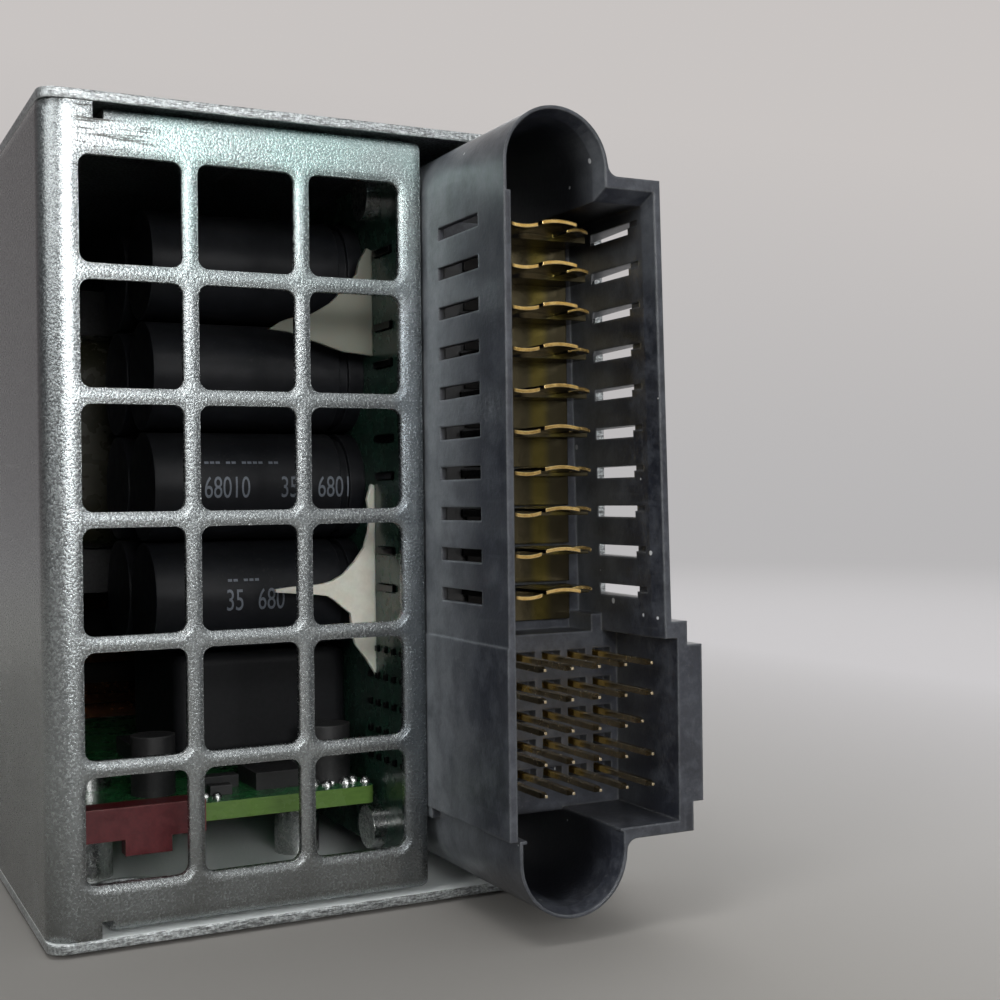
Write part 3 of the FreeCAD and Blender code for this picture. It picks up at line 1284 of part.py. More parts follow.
def primary_heat_sink():
    """Extruded sink: a flat base with fins on top, along the air stream."""
    z = TOP - SINK_DROP
    y0 = FRONT + SINK_BACK
    sink = [box(BOARD_X0 - SINK_REACH, BOARD_X0, y0, y0 + SINK_LENGTH, z, z + SINK_BASE)]
    step = (SINK_REACH - SINK_FIN_T) / (SINK_FINS - 1)
    for i in range(SINK_FINS):
        x = BOARD_X0 - SINK_REACH + step * i
        sink.append(box(x, x + SINK_FIN_T, y0, y0 + SINK_LENGTH, z, z + SINK_BASE + SINK_FIN_H))
    holes = [rod(vec(x, y, z), ALONG_Z, SCREW_R + SCREW_CLEAR, SINK_BASE) for x, y in device_screws()]
    return fuse(sink).cut(holes)


def device_rows():
    first = FRONT + SINK_BACK + (SINK_LENGTH - DEVICE_PITCH * (DEVICE_COUNT - 1)) / 2
    return [first + DEVICE_PITCH * i for i in range(DEVICE_COUNT)]


def device_screws():
    return [(BOARD_X0 - DEVICE_L, y) for y in device_rows()]


def power_transistors():
    """Three-lead devices clamped under the heat sink."""
    z1 = TOP - SINK_DROP
    z0 = z1 - DEVICE_T
    x1 = BOARD_X0 - DEVICE_STAND
    half = DEVICE_LEAD / 2
    lead_z = z0 + DEVICE_LEAD_LOW
    devices = []
    for y in device_rows():
        pieces = [box(x1 - DEVICE_L, x1, y - DEVICE_W / 2, y + DEVICE_W / 2, z0, z1)]
        for i in (-1, 0, 1):
            middle = y + DEVICE_LEAD_PITCH * i
            pieces.append(box(x1, BOARD_X0, middle - half, middle + half, lead_z, lead_z + DEVICE_LEAD))
        hole = rod(vec(BOARD_X0 - DEVICE_L, y, z0), ALONG_Z, SCREW_R + HOLE_CLEAR, DEVICE_T)
        devices.append(fuse(pieces).cut(hole))
    return group(devices)


def heat_sink_screws():
    z = TOP - SINK_DROP - DEVICE_T
    length = DEVICE_T + SINK_BASE
    return group([pan_screw(vec(x, y, z), ALONG_Z * -1, SCREW_R, DEVICE_HEAD_R, DEVICE_HEAD_H, length)
                  for x, y in device_screws()])


def output_heat_sink():
    """Folded aluminium sink on the connector side of the board."""
    y0 = FRONT + BEHIND + SIDE_SINK_BACK
    x0 = BOARD_X1
    x1 = x0 + SIDE_SINK_REACH
    low = SIDE_SINK_LOW
    high = low + SIDE_SINK_H
    t = SIDE_SINK_T
    points = [(x0, low), (x1, low), (x1, high), (x0, high),
              (x0, high - t), (x1 - t, high - t), (x1 - t, low + t), (x0, low + t)]
    radii = [0, SIDE_SINK_ROUND, SIDE_SINK_ROUND, 0, 0, 0, 0, 0]
    return slab("XZ", points, y0, y0 + SIDE_SINK_LENGTH, radii)


def output_rectifiers():
    """Flat devices clamped under the folded sink."""
    x0 = BOARD_X1 + RECTIFIER_STAND
    z1 = SIDE_SINK_LOW
    z0 = z1 - RECTIFIER_H
    parts = []
    for i in range(RECTIFIER_COUNT):
        y = FRONT + BEHIND + RECTIFIER_BACK + RECTIFIER_PITCH * i
        body = box(x0, x0 + RECTIFIER_W, y, y + RECTIFIER_LENGTH, z0, z1)
        lead_y = y + (RECTIFIER_LENGTH - RECTIFIER_LEAD) / 2
        lead_z = z0 + RECTIFIER_LEAD_T
        lead = box(BOARD_X1, x0, lead_y, lead_y + RECTIFIER_LEAD, lead_z, lead_z + RECTIFIER_LEAD_T)
        parts.append(fuse([body, lead]))
    return group(parts)


def bus_bars():
    """Two copper strips soldered to the board behind the connector."""
    y0 = FRONT + BEHIND + BAR_BACK
    y1 = y0 + BAR_LENGTH
    bars = []
    for z0 in BAR_HEIGHTS:
        flat = box(BOARD_X1, BOARD_X1 + BAR_T, y0, y1, z0, z0 + BAR_H)
        foot = box(BOARD_X1, BOARD_X1 + BAR_FOOT, y1 - BAR_T, y1, z0, z0 + BAR_H)
        bars.append(fuse([flat, foot]))
    return group(bars)


# ---------------------------------------------------------------- Fan
def fan_corners(y):
    half = FAN_SIZE * FAN_PITCH_SHARE / 2
    return [vec(x, y, FAN_Z + z) for x in (-half, half) for z in (-half, half)]


def fan_frame():
    """Square ends joined by a round duct, with the motor seat on four struts."""
    half = FAN_SIZE / 2
    y0 = FAN_BACK - FAN_DEPTH
    square = rectangle(-half, half, FAN_Z - half, FAN_Z + half)
    ends = [slab("XZ", square, y0, y0 + FAN_FLANGE_T, FAN_CORNER),
            slab("XZ", square, FAN_BACK - FAN_FLANGE_T, FAN_BACK, FAN_CORNER)]
    duct = rod(vec(0, y0, FAN_Z), ALONG_Y, half, FAN_DEPTH)
    frame = fuse(ends + [duct])
    cuts = [rod(vec(0, y0, FAN_Z), ALONG_Y, FAN_BORE_R, FAN_DEPTH)]
    for spot in fan_corners(y0):
        cuts.append(rod(spot, ALONG_Y, FAN_HOLE_R, FAN_DEPTH))
    frame = frame.cut(cuts)
    seat = [rod(vec(0, y0, FAN_Z), ALONG_Y, HUB_R, MOTOR_BASE_T)]
    for i in range(STRUTS):
        strut = box(HUB_R - HUB_WALL, (FAN_BORE_R + half) / 2, y0, y0 + MOTOR_BASE_T, -STRUT_W / 2, STRUT_W / 2)
        strut.rotate(vec(0, 0, 0), ALONG_Y, 45 + 360 / STRUTS * i)
        strut.translate(vec(0, 0, FAN_Z))
        seat.append(strut)
    seat.append(rod(vec(0, y0, FAN_Z), ALONG_Y, SHAFT_R + BEARING_WALL, HUB_LENGTH - HUB_WALL))
    frame = fuse([frame] + seat)
    return frame.cut(rod(vec(0, y0 + MOTOR_BASE_T / 3, FAN_Z), ALONG_Y, SHAFT_R + SHAFT_CLEAR, FAN_DEPTH))


def fan_stator():
    """Laminated core and coils on the bearing tube."""
    y0 = FAN_BACK - FAN_DEPTH + MOTOR_BASE_T
    outer = HUB_R - HUB_WALL - STATOR_GAP
    length = HUB_LENGTH - MOTOR_BASE_T - STATOR_SHORT
    core = tube(vec(0, y0, FAN_Z), ALONG_Y, outer, SHAFT_R + BEARING_WALL, length)
    slots = []
    for i in range(STATOR_SLOTS):
        slot = box(outer * STATOR_SLOT_SHARE, outer + 1, y0, y0 + HUB_LENGTH,
                   -STATOR_SLOT_W / 2, STATOR_SLOT_W / 2)
        slot.rotate(vec(0, 0, 0), ALONG_Y, 360 / STATOR_SLOTS * i)
        slot.translate(vec(0, 0, FAN_Z))
        slots.append(slot)
    return core.cut(slots)


def blade_section(radius, y0, y1):
    """Thin leaning strip at one radius, as a flat closed outline."""
    sweep = math.radians(BLADE_TWIST)
    half = BLADE_T / 2
    corners = []
    for share, side in ((0, -1), (0.5, -1), (1, -1), (1, 1), (0.5, 1), (0, 1)):
        lean = sweep * (share - 0.5 + BLADE_CURL * share * (1 - share))
        corners.append(vec(radius, y0 + (y1 - y0) * share, radius * math.tan(lean) + side * half))
    return Part.makePolygon(corners + [corners[0]])


def fan_rotor():
    """Magnet cup, shaft and seven twisted blades."""
    y0 = FAN_BACK - FAN_DEPTH + MOTOR_BASE_T + STATOR_GAP
    y1 = y0 + HUB_LENGTH
    cup = rod(vec(0, y0, 0), ALONG_Y, HUB_R, HUB_LENGTH)
    cup = round_edges(cup, HUB_ROUND, lambda c, e: abs(c.y - y1) < NEAR)
    cup = cup.cut(rod(vec(0, y0, 0), ALONG_Y, HUB_R - HUB_WALL, HUB_LENGTH - HUB_WALL))
    pieces = [cup, rod(vec(0, y0 - SHAFT_END, 0), ALONG_Y, SHAFT_R, HUB_LENGTH + SHAFT_END - HUB_WALL / 2)]
    tip = FAN_BORE_R - BLADE_GAP
    sections = [blade_section(r, y0 + BLADE_START, y1 - BLADE_END) for r in (HUB_R - HUB_WALL / 2, FAN_BORE_R)]
    blade = Part.makeLoft(sections, True, True).common(rod(vec(0, y0, 0), ALONG_Y, tip, HUB_LENGTH))
    for i in range(BLADES):
        turned = blade.copy()
        turned.rotate(vec(0, 0, 0), ALONG_Y, 360 / BLADES * i)
        pieces.append(turned)
    rotor = fuse(pieces)
    rotor.translate(vec(0, 0, FAN_Z))
    return rotor


def fan_guard():
    """Welded wire guard with an eye at each corner."""
    y = REAR + GUARD_WIRE_R
    centre = vec(0, y, FAN_Z)
    wires = [Part.makeTorus(FAN_SIZE * share, GUARD_WIRE_R, centre, ALONG_Y) for share in GUARD_SHARES]
    reach = FAN_SIZE * FAN_PITCH_SHARE / 2 * math.sqrt(2)
    eye_r = FAN_SCREW_R + HOLE_CLEAR + GUARD_WIRE_R
    start = FAN_SIZE * GUARD_SHARES[0]
    for i in range(4):
        spoke = rod(vec(start, 0, 0), ALONG_X, GUARD_WIRE_R, reach - eye_r - start)
        eye = Part.makeTorus(eye_r, GUARD_WIRE_R, vec(reach, 0, 0), ALONG_Y)
        arm = fuse([spoke, eye])
        arm.rotate(vec(0, 0, 0), ALONG_Y, 45 + 90 * i)
        arm.translate(centre)
        wires.append(arm)
    return fuse(wires)


def fan_screws():
    screws = []
    for spot in fan_corners(REAR + 2 * GUARD_WIRE_R):
        screws.append(pan_screw(spot, ALONG_Y, FAN_SCREW_R,
                                FAN_SCREW_HEAD_R, FAN_SCREW_HEAD_H, FAN_SCREW_LENGTH))
    return group(screws)


# ---------------------------------------------------------------- AC inlet
def inlet_body():
    x = LEFT + INLET_X
    y0 = REAR - SHEET - INLET_BODY_DEPTH
    flange = slab("XZ", rectangle(x - INLET_FLANGE_W / 2, x + INLET_FLANGE_W / 2,
                                  INLET_Z - INLET_FLANGE_H / 2, INLET_Z + INLET_FLANGE_H / 2),
                  REAR, REAR + INLET_FLANGE_T, INLET_FLANGE_ROUND)
    body = slab("XZ", rectangle(x - INLET_BODY_W / 2, x + INLET_BODY_W / 2,
                                INLET_Z - INLET_BODY_H / 2, INLET_Z + INLET_BODY_H / 2),
                y0, REAR + INLET_FLANGE_T / 4, INLET_BODY_ROUND)
    w = INLET_WELL_W / 2
    h = INLET_WELL_H / 2
    c = INLET_CHAMFER
    well = [(x - w, INLET_Z - h), (x + w, INLET_Z - h), (x + w, INLET_Z + h - c), (x + w - c, INLET_Z + h),
            (x - w + c, INLET_Z + h), (x - w, INLET_Z + h - c)]
    mouth = REAR + INLET_FLANGE_T
    hollow = slab("XZ", well, mouth - INLET_WELL_DEPTH, mouth, INLET_WELL_ROUND)
    shell = fuse([flange, body]).cut(hollow)
    return shell.cut([inlet_pin(px, pz) for px, pz in inlet_pin_places()])


def inlet_pin_places():
    x = LEFT + INLET_X
    return [(x - INLET_PIN_SPREAD, INLET_Z - INLET_EARTH_RISE), (x, INLET_Z + INLET_EARTH_RISE),
            (x + INLET_PIN_SPREAD, INLET_Z - INLET_EARTH_RISE)]


def inlet_pin(x, z):
    floor = REAR + INLET_FLANGE_T - INLET_WELL_DEPTH
    y0 = REAR - SHEET - INLET_BODY_DEPTH - INLET_PIN_TAIL
    return box(x - INLET_PIN_T / 2, x + INLET_PIN_T / 2, y0, floor + INLET_PIN_REACH,
               z - INLET_PIN_W / 2, z + INLET_PIN_W / 2)


def inlet_pins():
    return group([inlet_pin(x, z) for x, z in inlet_pin_places()])


# ---------------------------------------------------------------- Pull handle
def handle_pivot():
    return REAR + HANDLE_OUT, TOP - HANDLE_DROP


def handle_bail():
    """Bent wire: two turned-out ends, two legs and a cross bar."""
    y, z = handle_pivot()
    end_x = lug_inner_x() + LUG_T + HANDLE_END
    low = z - HANDLE_LEG
    corners = [(-end_x, z), (-HANDLE_LEG_X, z), (-HANDLE_LEG_X, low), (HANDLE_LEG_X, low),
               (HANDLE_LEG_X, z), (end_x, z)]
    turn = HANDLE_WIRE_R + LUG_GAP
    bends = [0, turn, HANDLE_BEND, HANDLE_BEND, turn, 0]
    return wire_rod([vec(a, y, b) for a, b in corners], bends, HANDLE_WIRE_R)


def wire_rod(points, bends, radius):
    """Round bar along straight runs joined by tangent arcs."""
    edges = []
    at = points[0]
    for i in range(1, len(points) - 1):
        spot = points[i]
        back = points[i - 1].sub(spot)
        ahead = points[i + 1].sub(spot)
        back.normalize()
        ahead.normalize()
        half = back.getAngle(ahead) / 2
        run = bends[i] / math.tan(half)
        middle = back.add(ahead)
        middle.normalize()
        enter = spot.add(back * run)
        leave = spot.add(ahead * run)
        crown = spot.add(middle * (bends[i] / math.sin(half) - bends[i]))
        edges.append(Part.makeLine(at, enter))
        edges.append(Part.Arc(enter, crown, leave).toShape())
        at = leave
    edges.append(Part.makeLine(at, points[-1]))
    path = Part.Wire(edges)
    start = points[1].sub(points[0])
    start.normalize()
    profile = Part.Wire([Part.makeCircle(radius, points[0], start)])
    return path.makePipeShell([profile], True, False)


def handle_grip():
    y, z = handle_pivot()
    start = vec(-GRIP_LENGTH / 2, y, z - HANDLE_LEG)
    sleeve = rod(start, ALONG_X, GRIP_R, GRIP_LENGTH)
    sleeve = round_edges(sleeve, GRIP_ROUND, lambda c, e: not is_along(e, ALONG_X))
    pitch = (GRIP_LENGTH - 2 * GRIP_END - GRIP_WAIST_W) / (GRIP_WAISTS - 1)
    waist = [tube(start.add(vec(GRIP_END + pitch * i, 0, 0)), ALONG_X, GRIP_R + 1, GRIP_R - GRIP_WAIST_DEPTH,
                  GRIP_WAIST_W) for i in range(GRIP_WAISTS)]
    return sleeve.cut(waist + [rod(start, ALONG_X, HANDLE_WIRE_R, GRIP_LENGTH)])


def lug_inner_x():
    return HANDLE_LEG_X + HANDLE_WIRE_R + LUG_GAP


def lug_rivet_spots():
    z = handle_pivot()[1] - LUG_R - LUG_FOOT_H / 2
    x = lug_inner_x() + LUG_T + RIVET_HEAD_R + SCREW_CLEAR
    return [vec(-x, REAR, z), vec(x, REAR, z)]


def handle_brackets():
    """Pressed lugs that carry the handle's turned-out ends."""
    y, z = handle_pivot()
    x0 = lug_inner_x()
    ear = [(REAR, z - LUG_R - LUG_FOOT_H), (REAR + LUG_T, z - LUG_R - LUG_FOOT_H), (y + LUG_R, z - LUG_R),
           (y + LUG_R, z + LUG_R), (REAR, z + LUG_R)]
    lug = slab("YZ", ear, x0, x0 + LUG_T, [0, 0, LUG_ROUND, LUG_ROUND, 0])
    foot = box(x0, x0 + LUG_FOOT_W, REAR, REAR + LUG_T, z - LUG_R - LUG_FOOT_H, z + LUG_R)
    bracket = fuse([lug, foot])
    cuts = [rod(vec(x0, y, z), ALONG_X, HANDLE_WIRE_R + LUG_HOLE_CLEAR, LUG_T)]
    spot = lug_rivet_spots()[1]
    cuts.append(rod(spot, ALONG_Y, LUG_RIVET_R + SCREW_CLEAR, LUG_T))
    bracket = bracket.cut(cuts)
    return group([bracket, other_side(bracket)])


def handle_rivets():
    rivets = []
    for spot in lug_rivet_spots():
        shank = rod(vec(spot.x, REAR - SHEET - RIVET_HEAD_H, spot.z), ALONG_Y, LUG_RIVET_R,
                    SHEET + LUG_T + 2 * RIVET_HEAD_H)
        tail = rod(vec(spot.x, REAR - SHEET - RIVET_HEAD_H, spot.z), ALONG_Y, RIVET_TAIL_R, RIVET_HEAD_H)
        head_seat = vec(spot.x, REAR + LUG_T, spot.z)
        head = Part.makeCone(RIVET_HEAD_R, RIVET_CROWN_R, RIVET_HEAD_H, head_seat, ALONG_Y)
        rivets.append(fuse([shank, tail, head]))
    return group(rivets)


# ---------------------------------------------------------------- Latch
def latch_pivot():
    return vec(RIGHT - LATCH_SIDE, REAR - LATCH_FORWARD, 0)


def latch_lever():
    """Moulded lever: pivot boss, arm, hook that catches in the bay, thumb tab."""
    pivot = latch_pivot()
    right = pivot.x + LATCH_ARM_T / 2
    left = pivot.x - LATCH_ARM_T / 2
    hook_front = REAR - LATCH_HOOK_FRONT
    hook_back = hook_front + LATCH_HOOK_L
    tip = RIGHT + LATCH_HOOK_OUT
    tab_y = REAR + SHEET + LATCH_TAB_GAP
    tab_left = right - LATCH_TAB_W
    end = REAR + LATCH_TAB_OUT
    outline = [
        (left, pivot.y), (right, pivot.y), (right, hook_front - LATCH_RAMP), (tip, hook_back - LATCH_HOOK_FLAT),
        (tip, hook_back), (right, hook_back), (right, end), (tab_left + LATCH_TAB_GAP, end),
        (tab_left, tab_y + LATCH_HOOK_OUT), (left, tab_y),
    ]
    tip_r = LATCH_LEAF_GAP
    radii = [0, 0, 0, tip_r, tip_r, 0, LATCH_TAB_ROUND, LATCH_TAB_ROUND, LATCH_TAB_GAP, 0]
    arm = slab("XY", outline, LATCH_ARM_LOW, LATCH_ARM_LOW + LATCH_ARM_H, radii)
    boss = rod(vec(pivot.x, pivot.y, LATCH_BOSS_LOW), ALONG_Z, LATCH_BOSS_R, LATCH_BOSS_H)
    grooves = []
    for i in range(LATCH_GROOVES):
        y = tab_y + LATCH_GROOVE_FIRST + LATCH_GROOVE_PITCH * i
        grooves.append(box(tab_left - 1, tab_left + LATCH_GROOVE_DEPTH, y, y + LATCH_GROOVE_W, 0, TOP))
    bore = rod(vec(pivot.x, pivot.y, 0), ALONG_Z, LATCH_PIN_R + LATCH_PIN_CLEAR, TOP)
    return fuse([arm, boss]).cut(grooves + [bore, spring_seat()])


def spring_seat():
    """Recess under the boss's top for the torsion spring's coils."""
    pivot = latch_pivot()
    high = LATCH_BOSS_LOW + LATCH_BOSS_H
    start = vec(pivot.x, pivot.y, high - SPRING_SEAT_H)
    return tube(start, ALONG_Z, LATCH_BOSS_R + 1, LATCH_PIN_R + SPRING_WIRE_R, SPRING_SEAT_H)


def bracket_high():
    return LATCH_BOSS_LOW + LATCH_BOSS_H + LATCH_LEAF_GAP + LATCH_LEAF


def latch_bracket():
    """Sheet bracket, welded to the bottom plate, with a leaf over and under the boss."""
    pivot = latch_pivot()
    x0 = pivot.x - LATCH_BOSS_R - LATCH_BRACKET_SIDE
    x1 = pivot.x + LATCH_BOSS_R
    y0 = pivot.y - LATCH_BOSS_R - LATCH_BRACKET_ROOM - LATCH_LEAF
    y1 = pivot.y + LATCH_BOSS_R
    high = bracket_high()
    bend = LATCH_BRACKET_BEND
    section = [(y0, SHEET), (y1, SHEET), (y1, SHEET + LATCH_LEAF), (y0 + LATCH_LEAF, SHEET + LATCH_LEAF),
               (y0 + LATCH_LEAF, high - LATCH_LEAF), (y1, high - LATCH_LEAF), (y1, high), (y0, high)]
    bracket = slab("YZ", section, x0, x1, [bend, 0, 0, bend - LATCH_LEAF, bend - LATCH_LEAF, 0, 0, bend])
    return bracket.cut(rod(vec(pivot.x, pivot.y, 0), ALONG_Z, LATCH_PIN_R + LATCH_PIN_FIT, TOP))


def latch_pin():
    pivot = latch_pivot()
    high = bracket_high()
    shank = rod(vec(pivot.x, pivot.y, SHEET), ALONG_Z, LATCH_PIN_R, high - SHEET)
    head = rod(vec(pivot.x, pivot.y, high), ALONG_Z, LATCH_PIN_R + LATCH_PIN_HEAD, LATCH_PIN_HEAD)
    return fuse([shank, head])


def latch_spring():
    """Torsion spring round the pin: flat rings for coils, and one leg on the bracket."""
    pivot = latch_pivot()
    low = LATCH_BOSS_LOW + LATCH_BOSS_H - SPRING_DOWN
    pitch = 2 * SPRING_WIRE_R - SPRING_OVERLAP
    rings = [Part.makeTorus(SPRING_COIL_R, SPRING_WIRE_R, vec(pivot.x, pivot.y, low + pitch * i), ALONG_Z)
             for i in range(SPRING_TURNS)]
    reach = LATCH_BOSS_R + SPRING_LEG
    start = vec(pivot.x - SPRING_COIL_R + SPRING_WIRE_R / 2, pivot.y - reach, low + pitch * (SPRING_TURNS - 1))
    return fuse(rings + [rod(start, ALONG_Y, SPRING_WIRE_R, reach)])


def latch_wall_slot():
    """Opening in the right wall that the hook passes through."""
    y0 = REAR - LATCH_HOOK_FRONT - LATCH_SLOT_AHEAD
    y1 = REAR - LATCH_HOOK_FRONT + LATCH_HOOK_L + LATCH_SLOT_BEHIND
    return box(WALL_X, RIGHT, y0, y1, LATCH_ARM_LOW - LATCH_SLOT_CLEAR,
               LATCH_ARM_LOW + LATCH_ARM_H + LATCH_SLOT_CLEAR)


def latch_panel_slot():
    """Opening in the end panel and its side flange for the arm's swing."""
    pivot = latch_pivot()
    swing = math.sin(math.radians(LATCH_TRAVEL)) * LATCH_FORWARD
    x0 = pivot.x - LATCH_ARM_T / 2 - swing - LATCH_SLOT_CLEAR
    x1 = pivot.x + LATCH_ARM_T / 2 + LATCH_SLOT_CLEAR
    z0 = LATCH_ARM_LOW - LATCH_SLOT_CLEAR
    z1 = LATCH_ARM_LOW + LATCH_ARM_H + LATCH_SLOT_CLEAR
    front = box(x0, x1, REAR - SHEET, REAR, z0, z1)
    behind = REAR - LATCH_HOOK_FRONT + LATCH_HOOK_L + LATCH_SLOT_BEHIND
    side = box(x1, RIGHT, REAR - PANEL_FLANGE, behind, z0, z1)
    return group([front, side])


def status_light():
    """Clear light pipe pressed into the end panel."""
    start = vec(RIGHT - LIGHT_SIDE, REAR - LIGHT_LENGTH, LIGHT_Z)
    pipe = rod(start, ALONG_Y, LIGHT_R, LIGHT_LENGTH + LIGHT_PROUD)
    return round_edges(pipe, LIGHT_R / 3, lambda c, e: c.y > REAR and not is_along(e, ALONG_Y))


NODES = {
    "outer_shell": outer_shell,
    "side_cover": side_cover,
    "end_panel": end_panel,
    "cover_screws": lambda: group(screws_at(cover_screw_seats())),
    "end_panel_screws": lambda: group(screws_at(panel_screw_seats())),
    "connector_housing": connector_housing,
    "power_contacts": power_contacts,
    "signal_pins": signal_pins,
    "connector_screws": connector_screws,
    "main_board": main_board,
    "board_standoffs": board_standoffs,
    "board_screws": board_screws,
    "insulating_sheet": insulating_sheet,
    "daughter_board": daughter_board,
    "daughter_board_posts": daughter_board_posts,
    "daughter_board_screws": daughter_board_screws,
    "daughter_board_parts": daughter_board_parts,
    "edge_guard": edge_guard,
    "output_capacitors": output_capacitors,
    "capacitor_spacers": capacitor_spacers,
    "output_inductor": output_inductor,
    "bulk_capacitor": bulk_capacitor,
    "transformer_core": transformer_core,
    "transformer_winding": transformer_winding,
    "transformer_bobbin": transformer_bobbin,
    "pfc_choke_core": lambda: toroid(*choke_ring()),
    "pfc_choke_winding": lambda: wound(*choke_ring(), CHOKE_TURNS, CHOKE_ARC, WIRE_R),
    "emi_choke_core": lambda: toroid(*emi_ring()),
    "emi_choke_winding": emi_choke_winding,
    "filter_capacitor": filter_capacitor,
    "bridge_rectifier": bridge_rectifier,
    "relay": relay,
    "line_fuse": line_fuse,
    "primary_heat_sink": primary_heat_sink,
    "power_transistors": power_transistors,
    "heat_sink_screws": heat_sink_screws,
    "output_heat_sink": output_heat_sink,
    "output_rectifiers": output_rectifiers,
    "bus_bars": bus_bars,
    "fan_frame": fan_frame,
    "fan_stator": fan_stator,
    "fan_rotor": fan_rotor,
    "fan_guard": fan_guard,
    "fan_screws": fan_screws,
    "inlet_body": inlet_body,
    "inlet_pins": inlet_pins,
    "handle_bail": handle_bail,
    "handle_grip": handle_grip,
    "handle_brackets": handle_brackets,
    "handle_rivets": handle_rivets,
    "latch_lever": latch_lever,
    "latch_bracket": latch_bracket,
    "latch_pin": latch_pin,
    "latch_spring": latch_spring,
    "status_light": status_light,
}

os.makedirs("parts", exist_ok=True)
for name, make in NODES.items():
    shape = make()
    solids = shape.Solids
    volume = sum(solid.Volume for solid in solids)
    print(f"{name}: {len(solids)} solid(s), {volume:.1f} mm3, valid {shape.isValid()}")
    shape.exportStep(f"parts/{name}.step")
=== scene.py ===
# %% [markdown]
# # A hot swap server power supply, dressed for the camera
# The machine itself comes ready built as a fixed frame: 55 named pieces on four
# bodies, the case, the fan rotor, the pull handle and the latch. Nothing here
# moves or reshapes those pieces. What this script adds is their finish, the light
# that shows it, and the small things that are too fine for the frame.

# %% Load the frame
import math
import bpy
import bmesh
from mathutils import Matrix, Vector


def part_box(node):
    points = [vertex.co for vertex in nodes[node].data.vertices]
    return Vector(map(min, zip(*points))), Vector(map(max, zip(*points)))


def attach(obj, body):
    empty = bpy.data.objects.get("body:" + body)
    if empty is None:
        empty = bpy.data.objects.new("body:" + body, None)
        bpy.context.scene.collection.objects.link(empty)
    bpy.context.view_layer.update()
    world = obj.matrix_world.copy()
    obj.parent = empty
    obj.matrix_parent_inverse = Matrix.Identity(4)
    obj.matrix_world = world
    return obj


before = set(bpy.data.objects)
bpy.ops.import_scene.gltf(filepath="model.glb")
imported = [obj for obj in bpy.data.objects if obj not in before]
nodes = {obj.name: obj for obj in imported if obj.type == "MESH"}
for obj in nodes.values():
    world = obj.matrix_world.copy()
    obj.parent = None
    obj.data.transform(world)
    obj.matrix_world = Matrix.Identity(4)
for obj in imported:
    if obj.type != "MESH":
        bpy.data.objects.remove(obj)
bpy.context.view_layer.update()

scene = bpy.context.scene
print("pieces in the frame:", len(nodes))

# %% [markdown]
# Everything is in metres, but a power supply is thought of in millimetres, so one
# constant turns one into the other. The box of the connector tells where its front
# face is, and the box of the cover tells where the grille is.

# %% The sizes that the rest is placed by
MM = 0.001
cover_low, cover_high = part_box("side_cover")
shell_low, shell_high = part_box("outer_shell")
plug_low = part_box("connector_housing")[0]
print("case, mm:", [round(v / MM, 1) for v in shell_high - shell_low])

# %% [markdown]
# ## Camera
# A product shot from very near: the lens stands about 12 cm in front of the
# grille, level with the middle of the case and turned some 27 degrees, so the
# connector comes towards it. A close lens is what makes the connector look large
# and the side wall fall away so fast. A long lens from far off would flatten both.

# %% Camera
CAMERA_MM = (-44.603, -232.021, 35.656)
CAMERA_DEGREES = (89.8892, 0.6701, -26.7930)

lens = bpy.data.cameras.new("camera")
lens.sensor_width = 36.0
lens.lens = 52.016
lens.clip_start = 0.001
lens.clip_end = 20.0
camera = bpy.data.objects.new("camera", lens)
camera.location = [v * MM for v in CAMERA_MM]
camera.rotation_euler = [math.radians(angle) for angle in CAMERA_DEGREES]
scene.collection.objects.link(camera)
scene.camera = camera
scene.view_settings.view_transform = "Standard"
print("camera, mm:", CAMERA_MM, "with a lens of", round(lens.lens, 1))

# %% [markdown]
# ## Small helpers
# A node tree is clearer when one line makes one node. `put` adds a node, sets its
# options, and fills each input with a value or with a link from another node. The
# others wrap the nodes that come up most: sums, ranges, mixed tones and noise.

# %% Helpers for node trees
def put(tree, kind, inputs=None, **options):
    made = tree.nodes.new(kind)
    for name, value in options.items():
        setattr(made, name, value)
    for name, value in (inputs or {}).items():
        socket = made.inputs[name]
        if isinstance(value, bpy.types.NodeSocket):
            tree.links.new(value, socket)
        else:
            socket.default_value = value
    return made


def maths(tree, operation, first, second=0.0, third=0.0):
    made = put(tree, "ShaderNodeMath", {0: first, 1: second, 2: third}, operation=operation)
    return made.outputs[0]


def times(tree, value, *others):
    """Multiply values, one after another."""
    for other in others:
        value = maths(tree, "MULTIPLY", value, other)
    return value


def spread(tree, value, low, high, to_low=0.0, to_high=1.0):
    """Map a value from low..high to to_low..to_high, and stop at the ends."""
    made = put(tree, "ShaderNodeMapRange", {"Value": value, "From Min": low, "From Max": high,
                                            "To Min": to_low, "To Max": to_high})
    return made.outputs["Result"]


def mixed(tree, share, first, second):
    """A colour between first and second."""
    made = put(tree, "ShaderNodeMix", data_type="RGBA")
    for index, value in ((0, share), (6, first), (7, second)):
        if isinstance(value, bpy.types.NodeSocket):
            tree.links.new(value, made.inputs[index])
        elif index == 0:
            made.inputs[0].default_value = value
        else:
            made.inputs[index].default_value = (*value, 1)
    return made.outputs[2]


def blended(tree, share, first, second):
    """A plain value between first and second."""
    return put(tree, "ShaderNodeMix", {0: share, 2: first, 3: second}).outputs[0]


def object_place(tree):
    return put(tree, "ShaderNodeTexCoord").outputs["Object"]


def noise(tree, place, scale, detail=2.0, roughness=0.5, stretch=None):
    if stretch:
        place = put(tree, "ShaderNodeMapping", {"Vector": place, "Scale": stretch}).outputs[0]
    made = put(tree, "ShaderNodeTexNoise", {"Vector": place, "Scale": scale, "Detail": detail,
                                            "Roughness": roughness})
    return made.outputs["Fac"]


